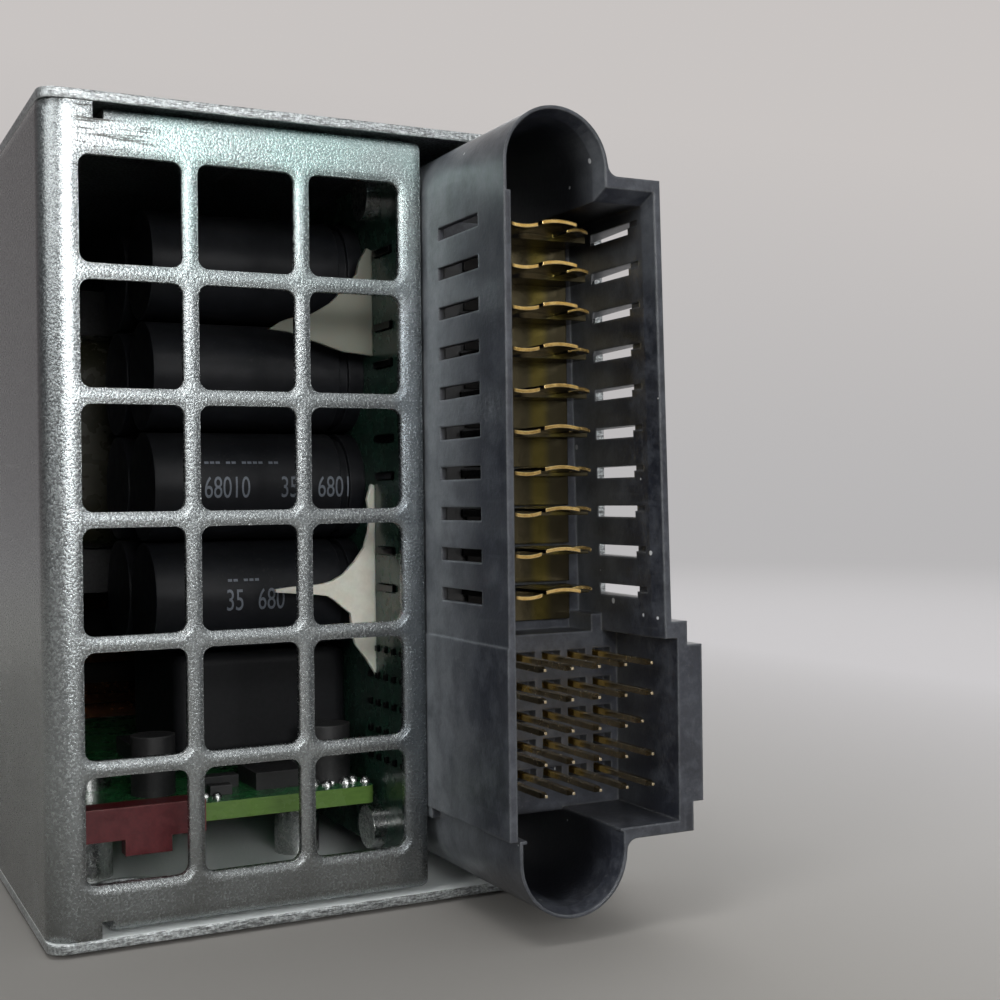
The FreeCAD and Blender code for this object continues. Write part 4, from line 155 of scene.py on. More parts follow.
# %% [markdown]
# Many marks on a real machine depend on where a point is, or on which way its face
# looks: dust lies on top, a cut edge faces forwards. These helpers ask for that
# and answer with a mask from 0 to 1.

# %% Helpers for masks
def object_axis(tree, axis):
    return put(tree, "ShaderNodeSeparateXYZ", {0: object_place(tree)}).outputs[axis]


def along(tree, axis, ends, to_low=0.0, to_high=1.0):
    """A mask that goes from to_low to to_high between two places on an axis."""
    return spread(tree, object_axis(tree, axis), *ends, to_low, to_high)


def band(tree, axis, start, full, fade, end):
    """A mask that rises from start to full, and falls again from fade to end."""
    place = object_axis(tree, axis)
    return times(tree, spread(tree, place, start, full), spread(tree, place, fade, end, 1.0, 0.0))


def looking(tree, axis, kind="True Normal"):
    """How far a face looks along an axis, from -1 to 1."""
    normal = put(tree, "ShaderNodeNewGeometry").outputs[kind]
    return put(tree, "ShaderNodeSeparateXYZ", {0: normal}).outputs[axis]


def facing(tree, axis, kind="True Normal"):
    """How far a face looks along an axis, either way."""
    return maths(tree, "ABSOLUTE", looking(tree, axis, kind))


# %% [markdown]
# ## Effects that many finishes share
# Each is a node group with named inputs, built once. A finish then places the
# group and gives it its own values, so all the metal wears in the same way and
# all the plastic gathers the same dust.

# %% A maker of node groups
def new_group(name, inputs, outputs):
    group = bpy.data.node_groups.new(name, "ShaderNodeTree")
    for label, value in inputs:
        socket = group.interface.new_socket(label, in_out="INPUT", socket_type="NodeSocketFloat")
        socket.default_value = value
    for label, kind in outputs:
        group.interface.new_socket(label, in_out="OUTPUT", socket_type="NodeSocket" + kind)
    print("group:", name)
    return group, put(group, "NodeGroupInput"), put(group, "NodeGroupOutput")


def place_group(tree, group, **values):
    made = put(tree, "ShaderNodeGroup")
    made.node_tree = group
    for label, value in values.items():
        made.inputs[label].default_value = value
    return made


# %% [markdown]
# ### Worn edges
# Sheet metal and moulded plastic are never knife sharp. The Bevel node rounds the
# normal within a small radius of an edge, which gives the thin highlight along
# it, and where that normal parts from the flat one there is an edge to wear. A
# noise breaks the wear up.

# %% Group: worn edge
def make_worn_edge():
    group, given, result = new_group(
        "worn edge", [("Radius", 0.0003), ("Breakup", 900.0)],
        [("Edge", "Float"), ("Normal", "Vector")])
    place = object_place(group)
    rounded = put(group, "ShaderNodeBevel", {"Radius": given.outputs["Radius"]}, samples=4)
    flat = put(group, "ShaderNodeNewGeometry").outputs["Normal"]
    agree = put(group, "ShaderNodeVectorMath", {0: rounded.outputs[0], 1: flat},
                operation="DOT_PRODUCT")
    part = maths(group, "SUBTRACT", 1.0, agree.outputs["Value"])
    cloud = noise(group, place, given.outputs["Breakup"], detail=3.0)
    patchy = spread(group, cloud, 0.3, 0.62, 0.35, 1.0)
    edge = times(group, spread(group, part, 0.004, 0.11), patchy)
    group.links.new(edge, result.inputs["Edge"])
    group.links.new(rounded.outputs[0], result.inputs["Normal"])
    return group


worn_edge = make_worn_edge()

# %% [markdown]
# ### Fine grain
# Three sizes of noise in one: broad clouds of slightly different tone, the grain
# proper, and a glitter finer than the grain. Shade goes to colour and roughness,
# Height to a bump.

# %% Group: fine grain
def make_fine_grain():
    group, given, result = new_group(
        "fine grain", [("Size", 1800.0), ("Clouds", 0.3), ("Glitter", 0.3)],
        [("Shade", "Float"), ("Height", "Float")])
    place = object_place(group)
    size = given.outputs["Size"]
    finer = times(group, size, 3.0)
    broader = times(group, size, 0.02)
    grain = spread(group, noise(group, place, size, 2.0, 0.6), 0.36, 0.64)
    fine = spread(group, noise(group, place, finer, 1.0, 0.7), 0.38, 0.62)
    cloud = spread(group, noise(group, place, broader, 3.0, 0.55), 0.3, 0.7)
    glitter = blended(group, given.outputs["Glitter"], grain, fine)
    shade = blended(group, given.outputs["Clouds"], glitter, cloud)
    group.links.new(shade, result.inputs["Shade"])
    group.links.new(glitter, result.inputs["Height"])
    return group


fine_grain = make_fine_grain()

# %% [markdown]
# ### Handling marks and dust
# Hairline scratches are noise stretched very long, cut off so that only its peaks
# are left, in two directions. Dust is a speckle that is thicker where a face
# looks upwards, since that is where it settles.

# %% Group: hairlines
def make_hairlines():
    group, given, result = new_group("hairlines", [("Amount", 0.5)], [("Line", "Float")])
    place = object_place(group)
    one = noise(group, place, 1.0, 1.0, 0.5, stretch=(2600, 90, 2300))
    two = noise(group, place, 1.0, 1.0, 0.5, stretch=(1900, 2400, 70))
    peaks = maths(group, "MAXIMUM", spread(group, one, 0.69, 0.76), spread(group, two, 0.7, 0.77))
    group.links.new(times(group, peaks, given.outputs["Amount"]), result.inputs["Line"])
    return group


hairlines = make_hairlines()


# %% Group: settled dust
def make_settled_dust():
    group, given, result = new_group(
        "settled dust", [("Amount", 0.4), ("Size", 3000.0)], [("Dust", "Float")])
    place = object_place(group)
    size = given.outputs["Size"]
    lying = spread(group, looking(group, "Z", "Normal"), -0.4, 0.9, 0.25, 1.0)
    speck = spread(group, noise(group, place, size, 3.0, 0.7), 0.56, 0.68)
    broader = times(group, size, 0.06)
    film = spread(group, noise(group, place, broader, 3.0), 0.35, 0.7, 0.1, 0.55)
    dust = times(group, maths(group, "MAXIMUM", speck, film), lying, given.outputs["Amount"])
    group.links.new(dust, result.inputs["Dust"])
    return group


settled_dust = make_settled_dust()

# %% [markdown]
# ### Lint
# Loose specks are rarer than dust and have clear edges. A Voronoi texture gives one
# point to every cell. Only what lies very near a point counts, and a cell's own
# random colour decides whether it has a speck at all, and how large.

# %% Group: lint specks
def make_lint():
    group, given, result = new_group(
        "lint specks", [("Size", 500.0), ("Share", 0.5)], [("Speck", "Float")])
    cells = put(group, "ShaderNodeTexVoronoi", {"Vector": object_place(group),
                                                "Scale": given.outputs["Size"]})
    luck = put(group, "ShaderNodeSeparateColor", {0: cells.outputs["Color"]}).outputs
    width = spread(group, luck[1], 0.0, 1.0, 0.03, 0.13)
    dot = maths(group, "LESS_THAN", cells.outputs["Distance"], width)
    chosen = maths(group, "LESS_THAN", luck[0], given.outputs["Share"])
    group.links.new(times(group, dot, chosen), result.inputs["Speck"])
    return group


lint_specks = make_lint()

# %% [markdown]
# ## A maker of finishes
# Nearly every finish on the machine is the same recipe with other numbers: a dark
# and a light tone mixed by grain, worn edges of a lighter tone, hairlines, dust,
# and a roughness that follows the grain. The grain's size is in cells to the metre,
# and the bump and the edge's radius are in metres. What is the same all over a
# surface, such as how metallic it is, is set on the shader itself.

# %% The common finish
DUST_TONE = (0.30, 0.29, 0.27)
LINE_ROUGHNESS = 0.15
DUST_ROUGHNESS = 0.3


def finish_for(name, dark, light, metallic=0.0, rough=(0.3, 0.45), size=1800.0, clouds=0.3,
               glitter=0.3, bump=0.000004, edge=0.0003, edge_tone=None, edge_share=0.6,
               lines=0.0, dust=0.0, dust_size=3000.0, fixed=None):
    made = bpy.data.materials.new(name)
    made.use_nodes = True
    tree = made.node_tree
    shader = tree.nodes["Principled BSDF"]
    shader.inputs["Metallic"].default_value = metallic
    for label, value in (fixed or {}).items():
        shader.inputs[label].default_value = value
    grain = place_group(tree, fine_grain, Size=size, Clouds=clouds, Glitter=glitter)
    worn = place_group(tree, worn_edge, Radius=edge, Breakup=size * 0.5)
    colour = mixed(tree, grain.outputs["Shade"], dark, light)
    roughness = spread(tree, grain.outputs["Shade"], 0.0, 1.0, *rough)
    if lines:
        marks = place_group(tree, hairlines, Amount=lines).outputs["Line"]
        colour = mixed(tree, marks, colour, edge_tone or light)
        roughness = maths(tree, "MULTIPLY_ADD", marks, LINE_ROUGHNESS, roughness)
    share = times(tree, worn.outputs["Edge"], edge_share)
    colour = mixed(tree, share, colour, edge_tone or light)
    if dust:
        settled = place_group(tree, settled_dust, Amount=dust, Size=dust_size).outputs["Dust"]
        colour = mixed(tree, settled, colour, DUST_TONE)
        roughness = maths(tree, "MULTIPLY_ADD", settled, DUST_ROUGHNESS, roughness)
    bumped = put(tree, "ShaderNodeBump", {"Height": grain.outputs["Height"], "Distance": bump,
                                          "Normal": worn.outputs["Normal"]})
    tree.links.new(colour, shader.inputs["Base Color"])
    tree.links.new(roughness, shader.inputs["Roughness"])
    tree.links.new(bumped.outputs[0], shader.inputs["Normal"])
    return made


def paint_over(material, mask_of, tone):
    """Mix one more tone over a finish's colour where a mask asks for it."""
    tree = material.node_tree
    colour = tree.nodes["Principled BSDF"].inputs["Base Color"]
    below = colour.links[0].from_socket
    tree.links.new(mixed(tree, mask_of(tree), below, tone), colour)


dressed = set()


def dress(material, *names):
    """Give the material to these pieces of the frame."""
    for name in names:
        slots = nodes[name].data.materials
        slots.clear()
        slots.append(material)
    dressed.update(names)


# %% [markdown]
# ## Zinc-plated steel
# The shell, the cover and the end panel are bent from electro-zinc plated sheet.
# It is a cool light grey with a faint green and blue cast, a fine orange-peel
# grain that glitters, and bright coined edges where a punch has gone through. The
# screws are plain bright steel, and the posts under the board a dull dark one.

# %% Sheet metal
ZINC_DARK = (0.15, 0.165, 0.17)
ZINC_LIGHT = (0.88, 0.925, 0.93)
EDGE_BRIGHT = (0.92, 0.95, 0.95)
zinc_cover = finish_for(
    "zinc cover", (0.23, 0.25, 0.255), (0.50, 0.535, 0.54), metallic=1.0, rough=(0.18, 0.30),
    size=4600.0, clouds=0.16, glitter=0.15, bump=0.000011, edge=0.0011, edge_tone=EDGE_BRIGHT,
    edge_share=0.55, lines=0.25, dust=0.04)
zinc_shell = finish_for(
    "zinc shell", ZINC_DARK, ZINC_LIGHT, metallic=1.0, rough=(0.34, 0.50), size=3800.0,
    glitter=0.2, bump=0.000018, edge_tone=EDGE_BRIGHT, lines=0.4, dust=0.08)
zinc_panel = finish_for(
    "zinc panel", ZINC_DARK, ZINC_LIGHT, metallic=1.0, rough=(0.26, 0.42), size=4000.0,
    clouds=0.25, glitter=0.2, bump=0.000018, edge_tone=EDGE_BRIGHT, lines=0.35, dust=0.06)
screw_steel = finish_for(
    "screw steel", (0.42, 0.43, 0.42), (0.66, 0.67, 0.66), metallic=1.0, rough=(0.18, 0.34),
    size=2600.0, clouds=0.2, glitter=0.4, edge=0.0001, edge_tone=(0.85, 0.85, 0.84),
    edge_share=0.5)
post_steel = finish_for(
    "dull post", (0.045, 0.05, 0.048), (0.10, 0.11, 0.105), metallic=0.6, rough=(0.4, 0.6),
    size=2600.0)
dress(zinc_cover, "side_cover")
dress(zinc_shell, "outer_shell")
dress(zinc_panel, "end_panel")
dress(screw_steel, "cover_screws", "end_panel_screws", "connector_screws", "board_screws",
      "daughter_board_screws", "heat_sink_screws", "fan_screws", "handle_rivets", "latch_pin",
      "daughter_board_posts")
dress(post_steel, "board_standoffs")
print("dressed in steel:", len(dressed))

# %% [markdown]
# A few things set these sheets apart from plain bright metal. The passivated film turns blue-green
# near the top. Towards the bottom the cover is painted darker in clouds, a painted shade where its
# lowest bars reflect the shadowed floor. Where the cover's corner was notched, the tool has
# dragged across it. The strip beside the connector is painted a shade bluer and darker, a painted
# reflection of the dark connector beside it. Sheared edges are raw steel, streaky and part dark.
# The inside of the shell is dull, since no tool has polished it, so it scatters light like grey
# paint. Each pair of places is in metres: where a mark begins and where it is full, or the other
# way round.

# %% Masks for the sheets
FILM_HEIGHT = (0.052, 0.064)
FILM_ACROSS = (-0.021, -0.016)
LOW_SHADE_HEIGHT = (0.004, 0.016)
DRAG_HEIGHT = (0.0595, 0.0610)
DRAG_START = (-0.0235, -0.0225)
DRAG_END = (-0.0185, -0.0150)
PLATE_TOP = (0.0014, 0.0018)
STRIP_ACROSS = (cover_high.x - 0.0030, cover_high.x - 0.0022)
STRIP_HEIGHT = (0.050, 0.061)


def top_patina(tree):
    cloud = noise(tree, object_place(tree), 110.0, detail=3.0)
    high = times(tree, along(tree, "Z", FILM_HEIGHT), along(tree, "X", FILM_ACROSS))
    return times(tree, high, spread(tree, cloud, 0.35, 0.6, 0.15, 0.5))


# Painted shade: the cover is darker towards the bottom, in clouds.
def painted_low_shade(tree):
    cloud = noise(tree, object_place(tree), 200.0, detail=4.0)
    low = along(tree, "Z", LOW_SHADE_HEIGHT, 1.0, 0.0)
    return times(tree, low, spread(tree, cloud, 0.3, 0.7, 0.3, 0.7))


def notch_drag(tree):
    streak = noise(tree, object_place(tree), 1.0, 2.0, 0.6, stretch=(280, 900, 4200))
    near = times(tree, along(tree, "Z", DRAG_HEIGHT), along(tree, "X", DRAG_END, 1.0, 0.0),
                 along(tree, "X", DRAG_START))
    return times(tree, near, spread(tree, streak, 0.57, 0.63, 0.0, 0.85))


# Painted reflection: the strip beside the connector is darker and bluer, where the dark connector
# would reflect.
def painted_reflection_strip(tree):
    return times(tree, along(tree, "X", STRIP_ACROSS), along(tree, "Z", STRIP_HEIGHT, 0.75, 0.0))


def sheared(tree):
    streak = noise(tree, object_place(tree), 1.0, 3.0, 0.7, stretch=(1300, 900, 9000))
    cut = spread(tree, facing(tree, "Y"), 0.85, 0.95)
    return times(tree, cut, spread(tree, streak, 0.47, 0.6, 0.0, 0.8))


def dull_inside(tree):
    """The upper side of the bottom plate."""
    low = along(tree, "Z", PLATE_TOP, 1.0, 0.0)
    return times(tree, spread(tree, looking(tree, "Z"), 0.6, 0.8), low)


# %% Patina, painted shade and reflection, drag marks, sheared edges and the dull inside
paint_over(zinc_cover, top_patina, (0.50, 0.74, 0.70))
# Painted reflection of the dark connector on the strip beside it.
paint_over(zinc_cover, painted_reflection_strip, (0.25, 0.285, 0.31))
# Painted shade: darker towards the bottom of the cover.
paint_over(zinc_cover, painted_low_shade, (0.20, 0.205, 0.20))
paint_over(zinc_cover, notch_drag, (0.06, 0.06, 0.055))
paint_over(zinc_shell, sheared, (0.10, 0.10, 0.10))
paint_over(zinc_shell, dull_inside, (0.90, 0.94, 0.93))
shell_tree = zinc_shell.node_tree
shell_metal = spread(shell_tree, dull_inside(shell_tree), 0.0, 1.0, 1.0, 0.0)
shell_tree.links.new(shell_metal, shell_tree.nodes["Principled BSDF"].inputs["Metallic"])
print("finished:", zinc_cover.name, zinc_shell.name, zinc_panel.name)

# %% [markdown]
# ## Connector
# The housing is moulded in glass-filled black plastic: nearly black with a touch
# of blue, satin, with a fine moulded grain and grey dust on its outer walls. The
# contacts are stamped copper alloy plated with gold.

# %% Connector finishes
housing_plastic = finish_for(
    "housing plastic", (0.004, 0.0052, 0.0095), (0.026, 0.031, 0.046), rough=(0.28, 0.46),
    size=2400.0, clouds=0.62, bump=0.000009, edge_tone=(0.16, 0.17, 0.18), edge_share=0.7,
    lines=0.10, dust=0.16, dust_size=2600.0, fixed={"Specular IOR Level": 0.75})
gold_contact = finish_for(
    "gold contact", (0.62, 0.37, 0.09), (1.0, 0.70, 0.28), metallic=1.0, rough=(0.14, 0.26),
    size=1600.0, clouds=0.4, glitter=0.2, edge=0.00013, edge_tone=(1.0, 0.88, 0.56),
    edge_share=0.95)
gold_pin = finish_for(
    "gold pin", (0.36, 0.28, 0.16), (0.80, 0.64, 0.38), metallic=1.0, rough=(0.16, 0.30),
    size=900.0, clouds=0.5, glitter=0.2, bump=0.000001, edge=0.00012, edge_tone=(1.0, 0.92, 0.74),
    edge_share=0.9)
dress(housing_plastic, "connector_housing")
dress(gold_contact, "power_contacts")
dress(gold_pin, "signal_pins")

# %% [markdown]
# Behind the tips of the fingers, and on their flat sides, the contacts are painted a dull dark
# brown, a painted shade and painted dark reflection, so the eye sees thin bright lines. Down the
# folded webs a yellow band is a painted reflection. Little light reaches what stands behind the
# board or deep in a slot, so that is painted nearly black, a painted shade, and so are the
# contacts' sides and their left ends behind the housing's wall. Where each pin goes into its
# window, a bright gold glint is painted on. Each place is a depth behind the connector's face, a
# height above the underside of the case, or a distance across it, in metres.

# %% Masks for the contacts
PLUG_FACE = plug_low.y


def behind_face(near, far):
    return PLUG_FACE + near, PLUG_FACE + far


TIP_DEPTH = behind_face(0.0080, 0.0092)
WEB_DEPTH = behind_face(0.0070, 0.0080)
WEB_ACROSS = (0.0161, 0.0168, 0.0176, 0.0184)
BOARD_BACK = (0.0061, 0.0064)
PIN_ROOT = PLUG_FACE + 0.0098
ROOT_BAND = (PIN_ROOT - 0.0026, PIN_ROOT - 0.0018, PIN_ROOT + 0.0006, PIN_ROOT + 0.0012)
FIRST_ROW = (0.0103, 0.0106)
SECOND_ROW = (0.0135, 0.0142)
ROW_DEPTH = behind_face(0.0085, 0.0090)


# Painted shade and dark reflection on the contacts' flat sides and deep parts.
def painted_shade_away_from_tips(tree):
    flat = spread(tree, facing(tree, "Y"), 0.3, 0.7, 0.9, 0.0)
    return maths(tree, "MAXIMUM", flat, along(tree, "Y", TIP_DEPTH))


def web_sheen(tree):
    """A painted reflection: a yellow band down the folded webs, where they mirror the gap between
    the fingers.
    """
    return times(tree, band(tree, "X", *WEB_ACROSS), along(tree, "Y", WEB_DEPTH), 0.8)


# Painted shade: what stands behind the board is painted near black.
def behind_board(tree):
    return along(tree, "X", BOARD_BACK, 1.0, 0.0)


def painted_root_glint(tree):
    """A painted glint: bright gold where a pin goes into its window."""
    return band(tree, "Y", *ROOT_BAND)


# Painted shade: the contacts' sides, and their left ends behind the housing's wall, are painted
# near black.
def painted_shade_left_edges(tree):
    side = spread(tree, facing(tree, "X"), 0.5, 0.8, 0.0, 0.95)
    shaded = times(tree, along(tree, "X", SECOND_ROW, 0.97, 0.0), along(tree, "Y", ROW_DEPTH))
    side = maths(tree, "MAXIMUM", side, shaded)
    return maths(tree, "MAXIMUM", side, along(tree, "X", FIRST_ROW, 0.95, 0.0))


# %% [markdown]
# The black plastic has marks of its own: handling leaves greasy smudges a few millimetres wide,
# and white lint. Its side walls are painted paler near the case and along the top, a painted
# reflection of the zinc panel beside them, and its slots and the far side of its two guides are
# painted nearly black, a painted shade.

# %% Masks for the housing
GRILLE_FACE = cover_low.y
SLOT_ACROSS = (plug_low.x + 0.0002, plug_low.x + 0.0006, 0.0140, 0.0150)
SLOT_HEIGHT = (0.0242, 0.0250, 0.0555, 0.0565)
SLOT_DEPTH = behind_face(0.0015, 0.0020)
GUIDE_TOP = (0.0568, 0.0576)
GUIDE_BOTTOM = (0.0080, 0.0088)
GUIDE_DEPTH = behind_face(0.0008, 0.0050)
GUIDE_ACROSS = (0.0122, 0.0128)
REFLECTION_DEPTH = (PLUG_FACE + 0.0045, GRILLE_FACE - 0.0010)
REFLECTION_HEIGHT = (0.050, 0.064)


# Painted shade deep in the slots.
def painted_slot_shade(tree):
    deep = times(tree, along(tree, "Y", SLOT_DEPTH), band(tree, "Z", *SLOT_HEIGHT))
    return times(tree, band(tree, "X", *SLOT_ACROSS), deep)


# Painted shade on the far side of the guides.
def painted_guide_shade(tree):
    ends = maths(tree, "MAXIMUM", along(tree, "Z", GUIDE_TOP),
                 along(tree, "Z", GUIDE_BOTTOM, 1.0, 0.0))
    return times(tree, ends, along(tree, "Y", GUIDE_DEPTH, 0.0, 0.9),
                 along(tree, "X", GUIDE_ACROSS))


def smudges(tree):
    return spread(tree, noise(tree, object_place(tree), 330.0, 7.0, 0.72), 0.46, 0.66, 0.0, 0.42)


# Painted reflection of the zinc panel on the housing's side walls, near the case and along the
# top.
def painted_panel_reflection(tree):
    left = spread(tree, facing(tree, "X"), 0.5, 0.9)
    corner = maths(tree, "MAXIMUM", along(tree, "Y", REFLECTION_DEPTH),
                   along(tree, "Z", REFLECTION_HEIGHT, 0.0, 0.8))
    cloud = noise(tree, object_place(tree), 320.0, 5.0, 0.65)
    return times(tree, corner, spread(tree, cloud, 0.3, 0.65, 0.25, 1.0), left)


def lint(tree):
    return place_group(tree, lint_specks, Size=520.0, Share=0.35).outputs["Speck"]


# %% Painted shade, sheen, glint and reflection, then smudges and lint
# Painted shade on the contacts' flat sides and deep parts.
paint_over(gold_contact, painted_shade_away_from_tips, (0.15, 0.125, 0.072))
# Painted reflection down the webs.
paint_over(gold_contact, web_sheen, (0.33, 0.26, 0.06))
# Painted shade on the contacts behind the board.
paint_over(gold_contact, behind_board, (0.012, 0.012, 0.012))
# Painted shade on the contacts' sides and left ends.
paint_over(gold_contact, painted_shade_left_edges, (0.010, 0.010, 0.011))
# Painted glint where each pin goes into its window.
paint_over(gold_pin, painted_root_glint, (1.0, 0.66, 0.16))
# Painted shade on the pins behind the board.
paint_over(gold_pin, behind_board, (0.02, 0.02, 0.02))
paint_over(housing_plastic, smudges, (0.13, 0.142, 0.165))
# Painted reflection of the zinc panel.
paint_over(housing_plastic, painted_panel_reflection, (0.20, 0.215, 0.23))
# Painted shade in the slots.
paint_over(housing_plastic, painted_slot_shade, (0.002, 0.002, 0.003))
# Painted shade in the guides.
paint_over(housing_plastic, painted_guide_shade, (0.002, 0.0022, 0.004))
paint_over(housing_plastic, lint, (0.60, 0.61, 0.62))
print("finished:", housing_plastic.name, gold_contact.name, gold_pin.name)

# %% [markdown]
# ## Boards and the parts on them
# A printed board is glass cloth in resin under a green lacquer, with the copper
# tracks just showing through. Its cut edge has no lacquer and shows the cloth, so
# the finish asks which way a face looks: the two broad faces are lacquer, and the
# rest is edge. The main board stands on edge and the small one lies flat, so each
# says along which axis its broad faces look.

# %% Board finishes
TRACK_CELLS = 420.0
TRACK_SHARE = 0.5
CLOTH_LIGHTER = 1.7


def board_finish(name, dark, light, cloth_tone, axis):
    made = finish_for(name, dark, light, rough=(0.18, 0.32), size=500.0, glitter=0.2,
                      bump=0.000006, edge=0.0001, edge_tone=light, edge_share=0.2, dust=0.15)
    tree = made.node_tree
    colour = tree.nodes["Principled BSDF"].inputs["Base Color"]
    lacquer = colour.links[0].from_socket
    flat = spread(tree, facing(tree, axis, "Normal"), 0.4, 0.6)
    place = object_place(tree)
    runs = put(tree, "ShaderNodeTexVoronoi", {"Vector": place, "Scale": TRACK_CELLS},
               distance="CHEBYCHEV", feature="DISTANCE_TO_EDGE")
    track = spread(tree, runs.outputs["Distance"], 0.10, 0.14, 1.0, 0.0)
    lacquer = mixed(tree, times(tree, track, TRACK_SHARE), lacquer, light)
    cloth = noise(tree, place, 1.0, 2.0, 0.5, stretch=(900, 900, 3800))
    lighter = tuple(min(1.0, CLOTH_LIGHTER * part) for part in cloth_tone)
    cut = mixed(tree, cloth, cloth_tone, lighter)
    tree.links.new(mixed(tree, flat, cut, lacquer), colour)
    return made


board_green = board_finish("board green", (0.006, 0.06, 0.018), (0.02, 0.16, 0.045),
                           (0.085, 0.155, 0.035), "Z")
board_dark = board_finish("board dark", (0.006, 0.016, 0.012), (0.014, 0.045, 0.03),
                          (0.03, 0.035, 0.035), "X")
film = finish_for(
    "insulating film", (0.42, 0.40, 0.34), (0.55, 0.53, 0.46), rough=(0.2, 0.32), size=400.0,
    clouds=0.5, glitter=0.1, bump=0.000003, edge=0.0001)
dress(board_dark, "main_board")
dress(board_green, "daughter_board")
dress(film, "insulating_sheet")
print("finished:", board_green.name, board_dark.name, film.name)

# %% [markdown]
# The parts on the boards are seen through the grille, so they need tone more than
# detail. Nearest are the capacitors in black shrink sleeves, held apart by pale
# spacers, the chips on the small board, and a dark red guard over a raw edge.

# %% Finishes of the capacitors and the small board's parts
chips = finish_for(
    "chips", (0.008, 0.008, 0.009), (0.020, 0.020, 0.021), rough=(0.4, 0.6), size=3000.0,
    edge=0.00015, edge_tone=(0.12, 0.12, 0.12), dust=0.12)
red_plastic = finish_for(
    "red plastic", (0.075, 0.006, 0.009), (0.13, 0.012, 0.016), rough=(0.3, 0.5), size=1200.0,
    edge=0.0002, edge_tone=(0.36, 0.14, 0.12), dust=0.08)
sleeve = finish_for(
    "capacitor sleeve", (0.004, 0.0045, 0.006), (0.010, 0.011, 0.014), rough=(0.3, 0.5),
    size=900.0, clouds=0.6, glitter=0.15, bump=0.000006, edge=0.0002,
    edge_tone=(0.03, 0.032, 0.036), edge_share=0.5, dust=0.05, fixed={"Specular IOR Level": 0.2})
bulk_sleeve = finish_for(
    "bulk sleeve", (0.007, 0.008, 0.013), (0.018, 0.021, 0.032), rough=(0.2, 0.35), size=700.0,
    clouds=0.6, glitter=0.15, bump=0.000006, edge_tone=(0.05, 0.055, 0.07), edge_share=0.5,
    dust=0.15)
white_film = finish_for(
    "white fin", (0.70, 0.68, 0.58), (0.86, 0.84, 0.74), rough=(0.4, 0.6), size=1300.0, clouds=0.5,
    glitter=0.2, bump=0.000006, edge=0.0002, edge_tone=(0.9, 0.89, 0.84), dust=0.1,
    fixed={"Subsurface Weight": 0.15, "Subsurface Scale": 0.001})
dress(chips, "daughter_board_parts")
dress(red_plastic, "edge_guard")
dress(sleeve, "output_capacitors")
dress(bulk_sleeve, "bulk_capacitor")
dress(white_film, "capacitor_spacers")
print("dressed so far:", len(dressed))

# %% [markdown]
# Of the spacers between the capacitors, only the lower one catches the light. The
# upper one is further into the shade, so its tone is a darker grey-green.

# %% The upper spacer
UPPER_FROM = (0.040, 0.044)


def upper_spacer(tree):
    return along(tree, "Z", UPPER_FROM)


paint_over(white_film, upper_spacer, (0.20, 0.205, 0.165))
print("finished:", white_film.name)

# %% [markdown]
# Chokes and transformers are copper wound on ferrite: cores as dull as slate, windings under tape
# on a moulded bobbin, and bare enamelled wire with its orange shine. The tape stands deep in the
# shade, so its colour is painted near black, a painted shade. The bus bars are copper too.

# %% Finishes of the wound parts
inductor = finish_for(
    "inductor", (0.005, 0.0055, 0.0065), (0.012, 0.0125, 0.014), rough=(0.45, 0.65), size=2600.0,
    edge_tone=(0.05, 0.05, 0.05), dust=0.02, fixed={"Specular IOR Level": 0.2})
ferrite = finish_for(
    "ferrite", (0.018, 0.018, 0.019), (0.05, 0.05, 0.052), metallic=0.1, rough=(0.5, 0.7),
    size=2800.0, edge_tone=(0.15, 0.15, 0.15), dust=0.2)
# Painted shade: the tape's colour is darkened to near black.
tape = finish_for(
    "tape", (0.020, 0.020, 0.012), (0.045, 0.042, 0.022), rough=(0.2, 0.35), size=500.0,
    clouds=0.6, glitter=0.1, dust=0.1)
bobbin = finish_for(
    "bobbin", (0.02, 0.02, 0.022), (0.05, 0.05, 0.052), rough=(0.35, 0.5), size=2000.0, dust=0.15)
copper_wire = finish_for(
    "copper wire", (0.24, 0.09, 0.04), (0.42, 0.19, 0.09), metallic=0.85, rough=(0.18, 0.3),
    size=1200.0, edge=0.0001, edge_tone=(0.85, 0.42, 0.2))
dress(inductor, "output_inductor")
dress(ferrite, "transformer_core", "pfc_choke_core", "emi_choke_core")
dress(tape, "transformer_winding")
dress(bobbin, "transformer_bobbin")
dress(copper_wire, "pfc_choke_winding", "emi_choke_winding", "bus_bars")
print("dressed so far:", len(dressed))

# %% [markdown]
# What is left on the main board is moulded black packages, a boxed filter
# capacitor, a ceramic fuse, and the aluminium heat sinks.

# %% Finishes of the packages and heat sinks
filter_box = finish_for(
    "filter box", (0.05, 0.045, 0.03), (0.10, 0.09, 0.06), rough=(0.25, 0.4), size=1500.0,
    edge_tone=(0.3, 0.27, 0.18), dust=0.1)
package = finish_for(
    "black package", (0.014, 0.014, 0.015), (0.04, 0.04, 0.042), rough=(0.4, 0.58), size=2600.0,
    edge=0.0002, edge_tone=(0.14, 0.14, 0.14), dust=0.15)
ceramic = finish_for(
    "fuse ceramic", (0.62, 0.60, 0.55), (0.78, 0.76, 0.71), rough=(0.3, 0.5), size=2200.0,
    dust=0.1)
sink = finish_for(
    "sink aluminium", (0.50, 0.51, 0.52), (0.74, 0.75, 0.76), metallic=1.0, rough=(0.3, 0.48),
    size=1700.0, bump=0.000006, edge=0.0002, edge_tone=(0.88, 0.88, 0.88), edge_share=0.5,
    lines=0.6, dust=0.06)
dress(filter_box, "filter_capacitor")
dress(package, "bridge_rectifier", "relay", "power_transistors", "output_rectifiers")
dress(ceramic, "line_fuse")
dress(sink, "primary_heat_sink", "output_heat_sink")
print("dressed so far:", len(dressed))

